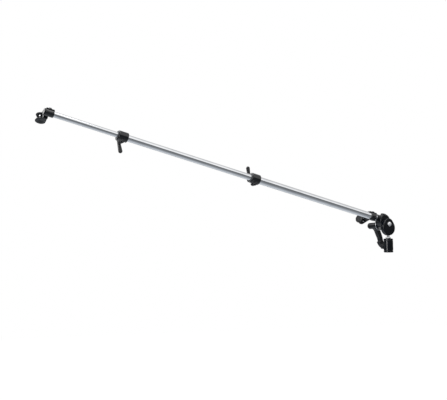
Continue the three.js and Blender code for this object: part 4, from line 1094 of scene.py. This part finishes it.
# Straight grip ribs side by side
def makeRibTree():
    tree, sizes = newTree("ribs", ribSizes)
    rail = addNode(tree, "GeometryNodeMeshLine", {
        "Count": sizes["Count"], "Offset": vectorOf(tree, y=sizes["Spacing"]),
    })
    half = calculate(tree, "MULTIPLY", sizes["Width"], 0.5)
    line = addNode(tree, "GeometryNodeCurvePrimitiveLine", {
        "Start": vectorOf(tree, calculate(tree, "MULTIPLY", half, -1.0)), "End": vectorOf(tree, half),
    })
    rows = addNode(tree, "GeometryNodeInstanceOnPoints", {
        "Points": rail, "Instance": sweep(tree, line, sizes["Radius"], 12),
    })
    return closeTree(tree, rows, "moulded_black")


# Small domes in rows over a round pad, none of them past its straight edge
def makeNubTree():
    tree, sizes = newTree("nubs", nubSizes)
    across = calculate(tree, "MULTIPLY", sizes["Radius"], 2.0)
    grid = addNode(tree, "GeometryNodeMeshGrid", {
        "Size X": across, "Size Y": across, "Vertices X": sizes["Rows"], "Vertices Y": sizes["Rows"],
    })
    place = addNode(tree, "GeometryNodeInputPosition")
    length = addNode(tree, "ShaderNodeVectorMath", {0: place}, operation="LENGTH")
    height = addNode(tree, "ShaderNodeSeparateXYZ", {"Vector": place}).outputs["Y"]
    outside = calculate(tree, "GREATER_THAN", length.outputs["Value"], sizes["Radius"])
    below = calculate(tree, "LESS_THAN", height, sizes["Cut"])
    trim = addNode(tree, "GeometryNodeDeleteGeometry", {
        "Geometry": grid, "Selection": calculate(tree, "MAXIMUM", outside, below),
    }, domain="POINT")
    dome = addNode(tree, "GeometryNodeMeshUVSphere", {"Segments": 10, "Rings": 6, "Radius": sizes["Nub"]})
    rows = addNode(tree, "GeometryNodeInstanceOnPoints", {
        "Points": trim, "Instance": smoothShaded(tree, dome),
    })
    return closeTree(tree, rows, "rubber")


# Runs a tree and leaves its result as a plain mesh in its place
def grow(tree, name, place, sizes):
    item = addObject(name, bpy.data.meshes.new(name))
    step = item.modifiers.new("grow", "NODES")
    step.node_group = tree
    for socket in tree.interface.items_tree:
        if socket.name in sizes:
            step[socket.identifier] = sizes[socket.name]
    mesh = settledMesh(item)
    item.modifiers.clear()
    mesh.transform(Matrix.Scale(mm, 4) @ place)
    mesh.name = name
    item.data = mesh
    return item


threadTree = makeThreadTree()
coilTree = makeCoilTree()
ribTree = makeRibTree()
nubTree = makeNubTree()

# Threads that show: (name, body, place, radius, length), each a little inside its bolt's own radius
threads = [
    ("neckThread", "socket", shift(z=43.4), 3.85, 4.5),
    ("spindleThread", "outer", alongArm(-17.6) @ turnOfAxis["x"], 4.8, 1.4),
]
threadSettings = dict(wing=2.25, wingSunk=1, wingMore=2, post=2.38, postRise=1.9, postLength=0.9)


def addThreads():
    s = Named(**threadSettings)
    c = Named(**collarSettings)
    for suffix, at in collarPlaces.items():
        start = at.tube + c.play + c.wall + c.bossReach - s.wingSunk
        place = alongArm(at.centre) @ rotation(90, "X") @ shift(z=start)
        body = bodyOfNode["wing_screw_" + suffix]
        threads.append(("wingThread" + suffix, body, place, s.wing, at.standOff + s.wingMore))
    for side, (hingeAt, padCentre) in clipHeights.items():
        start = hingeAt - jawSettings["hingeFromRoot"] + clipSettings["gap"] + s.postRise
        place = clipPlace(clipPlaces[side]) @ shift(z=start)
        threads.append((side + "PostThread", bodyOfNode[side + "_clip_post"], place, s.post, s.postLength))
    for name, body, place, radius, length in threads:
        sizes = {**threadSizes, "Radius": radius, "Turns": length / threadSizes["Pitch"]}
        dress(grow(threadTree, name, place, sizes), "bright_steel", body)


# Springs, nubs proud of the pads' faces, and ribs half sunk in the jaws' backs
trimSettings = dict(nubProud=0.25, ribSunk=0.15, ribDrop=5)


def addClipTrim(side):
    s = Named(**trimSettings)
    hingeAt, padCentre = clipHeights[side]
    place = clipPlace(clipPlaces[side])
    springPlace = place @ shift(0, -coilSizes["Height"] / 2, hingeAt) @ turnOfAxis["y"]
    dressAsNode(grow(coilTree, side + "Spring", springPlace, coilSizes), side + "_spring")
    face = jawSettings["mouth"] / 2
    back = face + padSettings["thickness"] + clipSettings["gap"] + jawSettings["thickness"]
    for tree, sizes, label, part, depth, height in (
        (nubTree, nubSizes, "Nubs", "pad", face + s.nubProud, padCentre),
        (ribTree, ribSizes, "Ribs", "jaw", back - s.ribSunk, padCentre - s.ribDrop),
    ):
        for name, sign in (("fixed", -1), ("moving", 1)):
            spot = place @ shift(sign * depth, 0, height) @ outlineOfAxis["x"]
            item = grow(tree, side + name.capitalize() + label, spot, sizes)
            node = f"{side}_{name}_{part}"
            dress(item, slotOfNode[node], bodyOfNode[node])


addThreads()
for clipSide in clipPlaces:
    addClipTrim(clipSide)
print("threads, springs, nubs and ribs grown")


# Copy of a node with its flats shaded round and its edges softened
softSettings = dict(weld=0.002, flat=math.radians(0.8), edge=0.2)


def softenNode(node):
    s = Named(**softSettings)
    shape = bmesh.new()
    shape.from_mesh(frame["nodes"][node].data)
    shape.transform(Matrix.Scale(1 / mm, 4))
    bmesh.ops.remove_doubles(shape, verts=shape.verts, dist=s.weld)
    bmesh.ops.dissolve_limit(shape, angle_limit=s.flat, verts=shape.verts, edges=shape.edges)
    dressAsNode(finishShape(shape, node + "_fine", s.edge), node)


for nodeName in frame["nodes"]:
    if nodeName not in dressedNodes:
        softenNode(nodeName)
print("nodes softened")
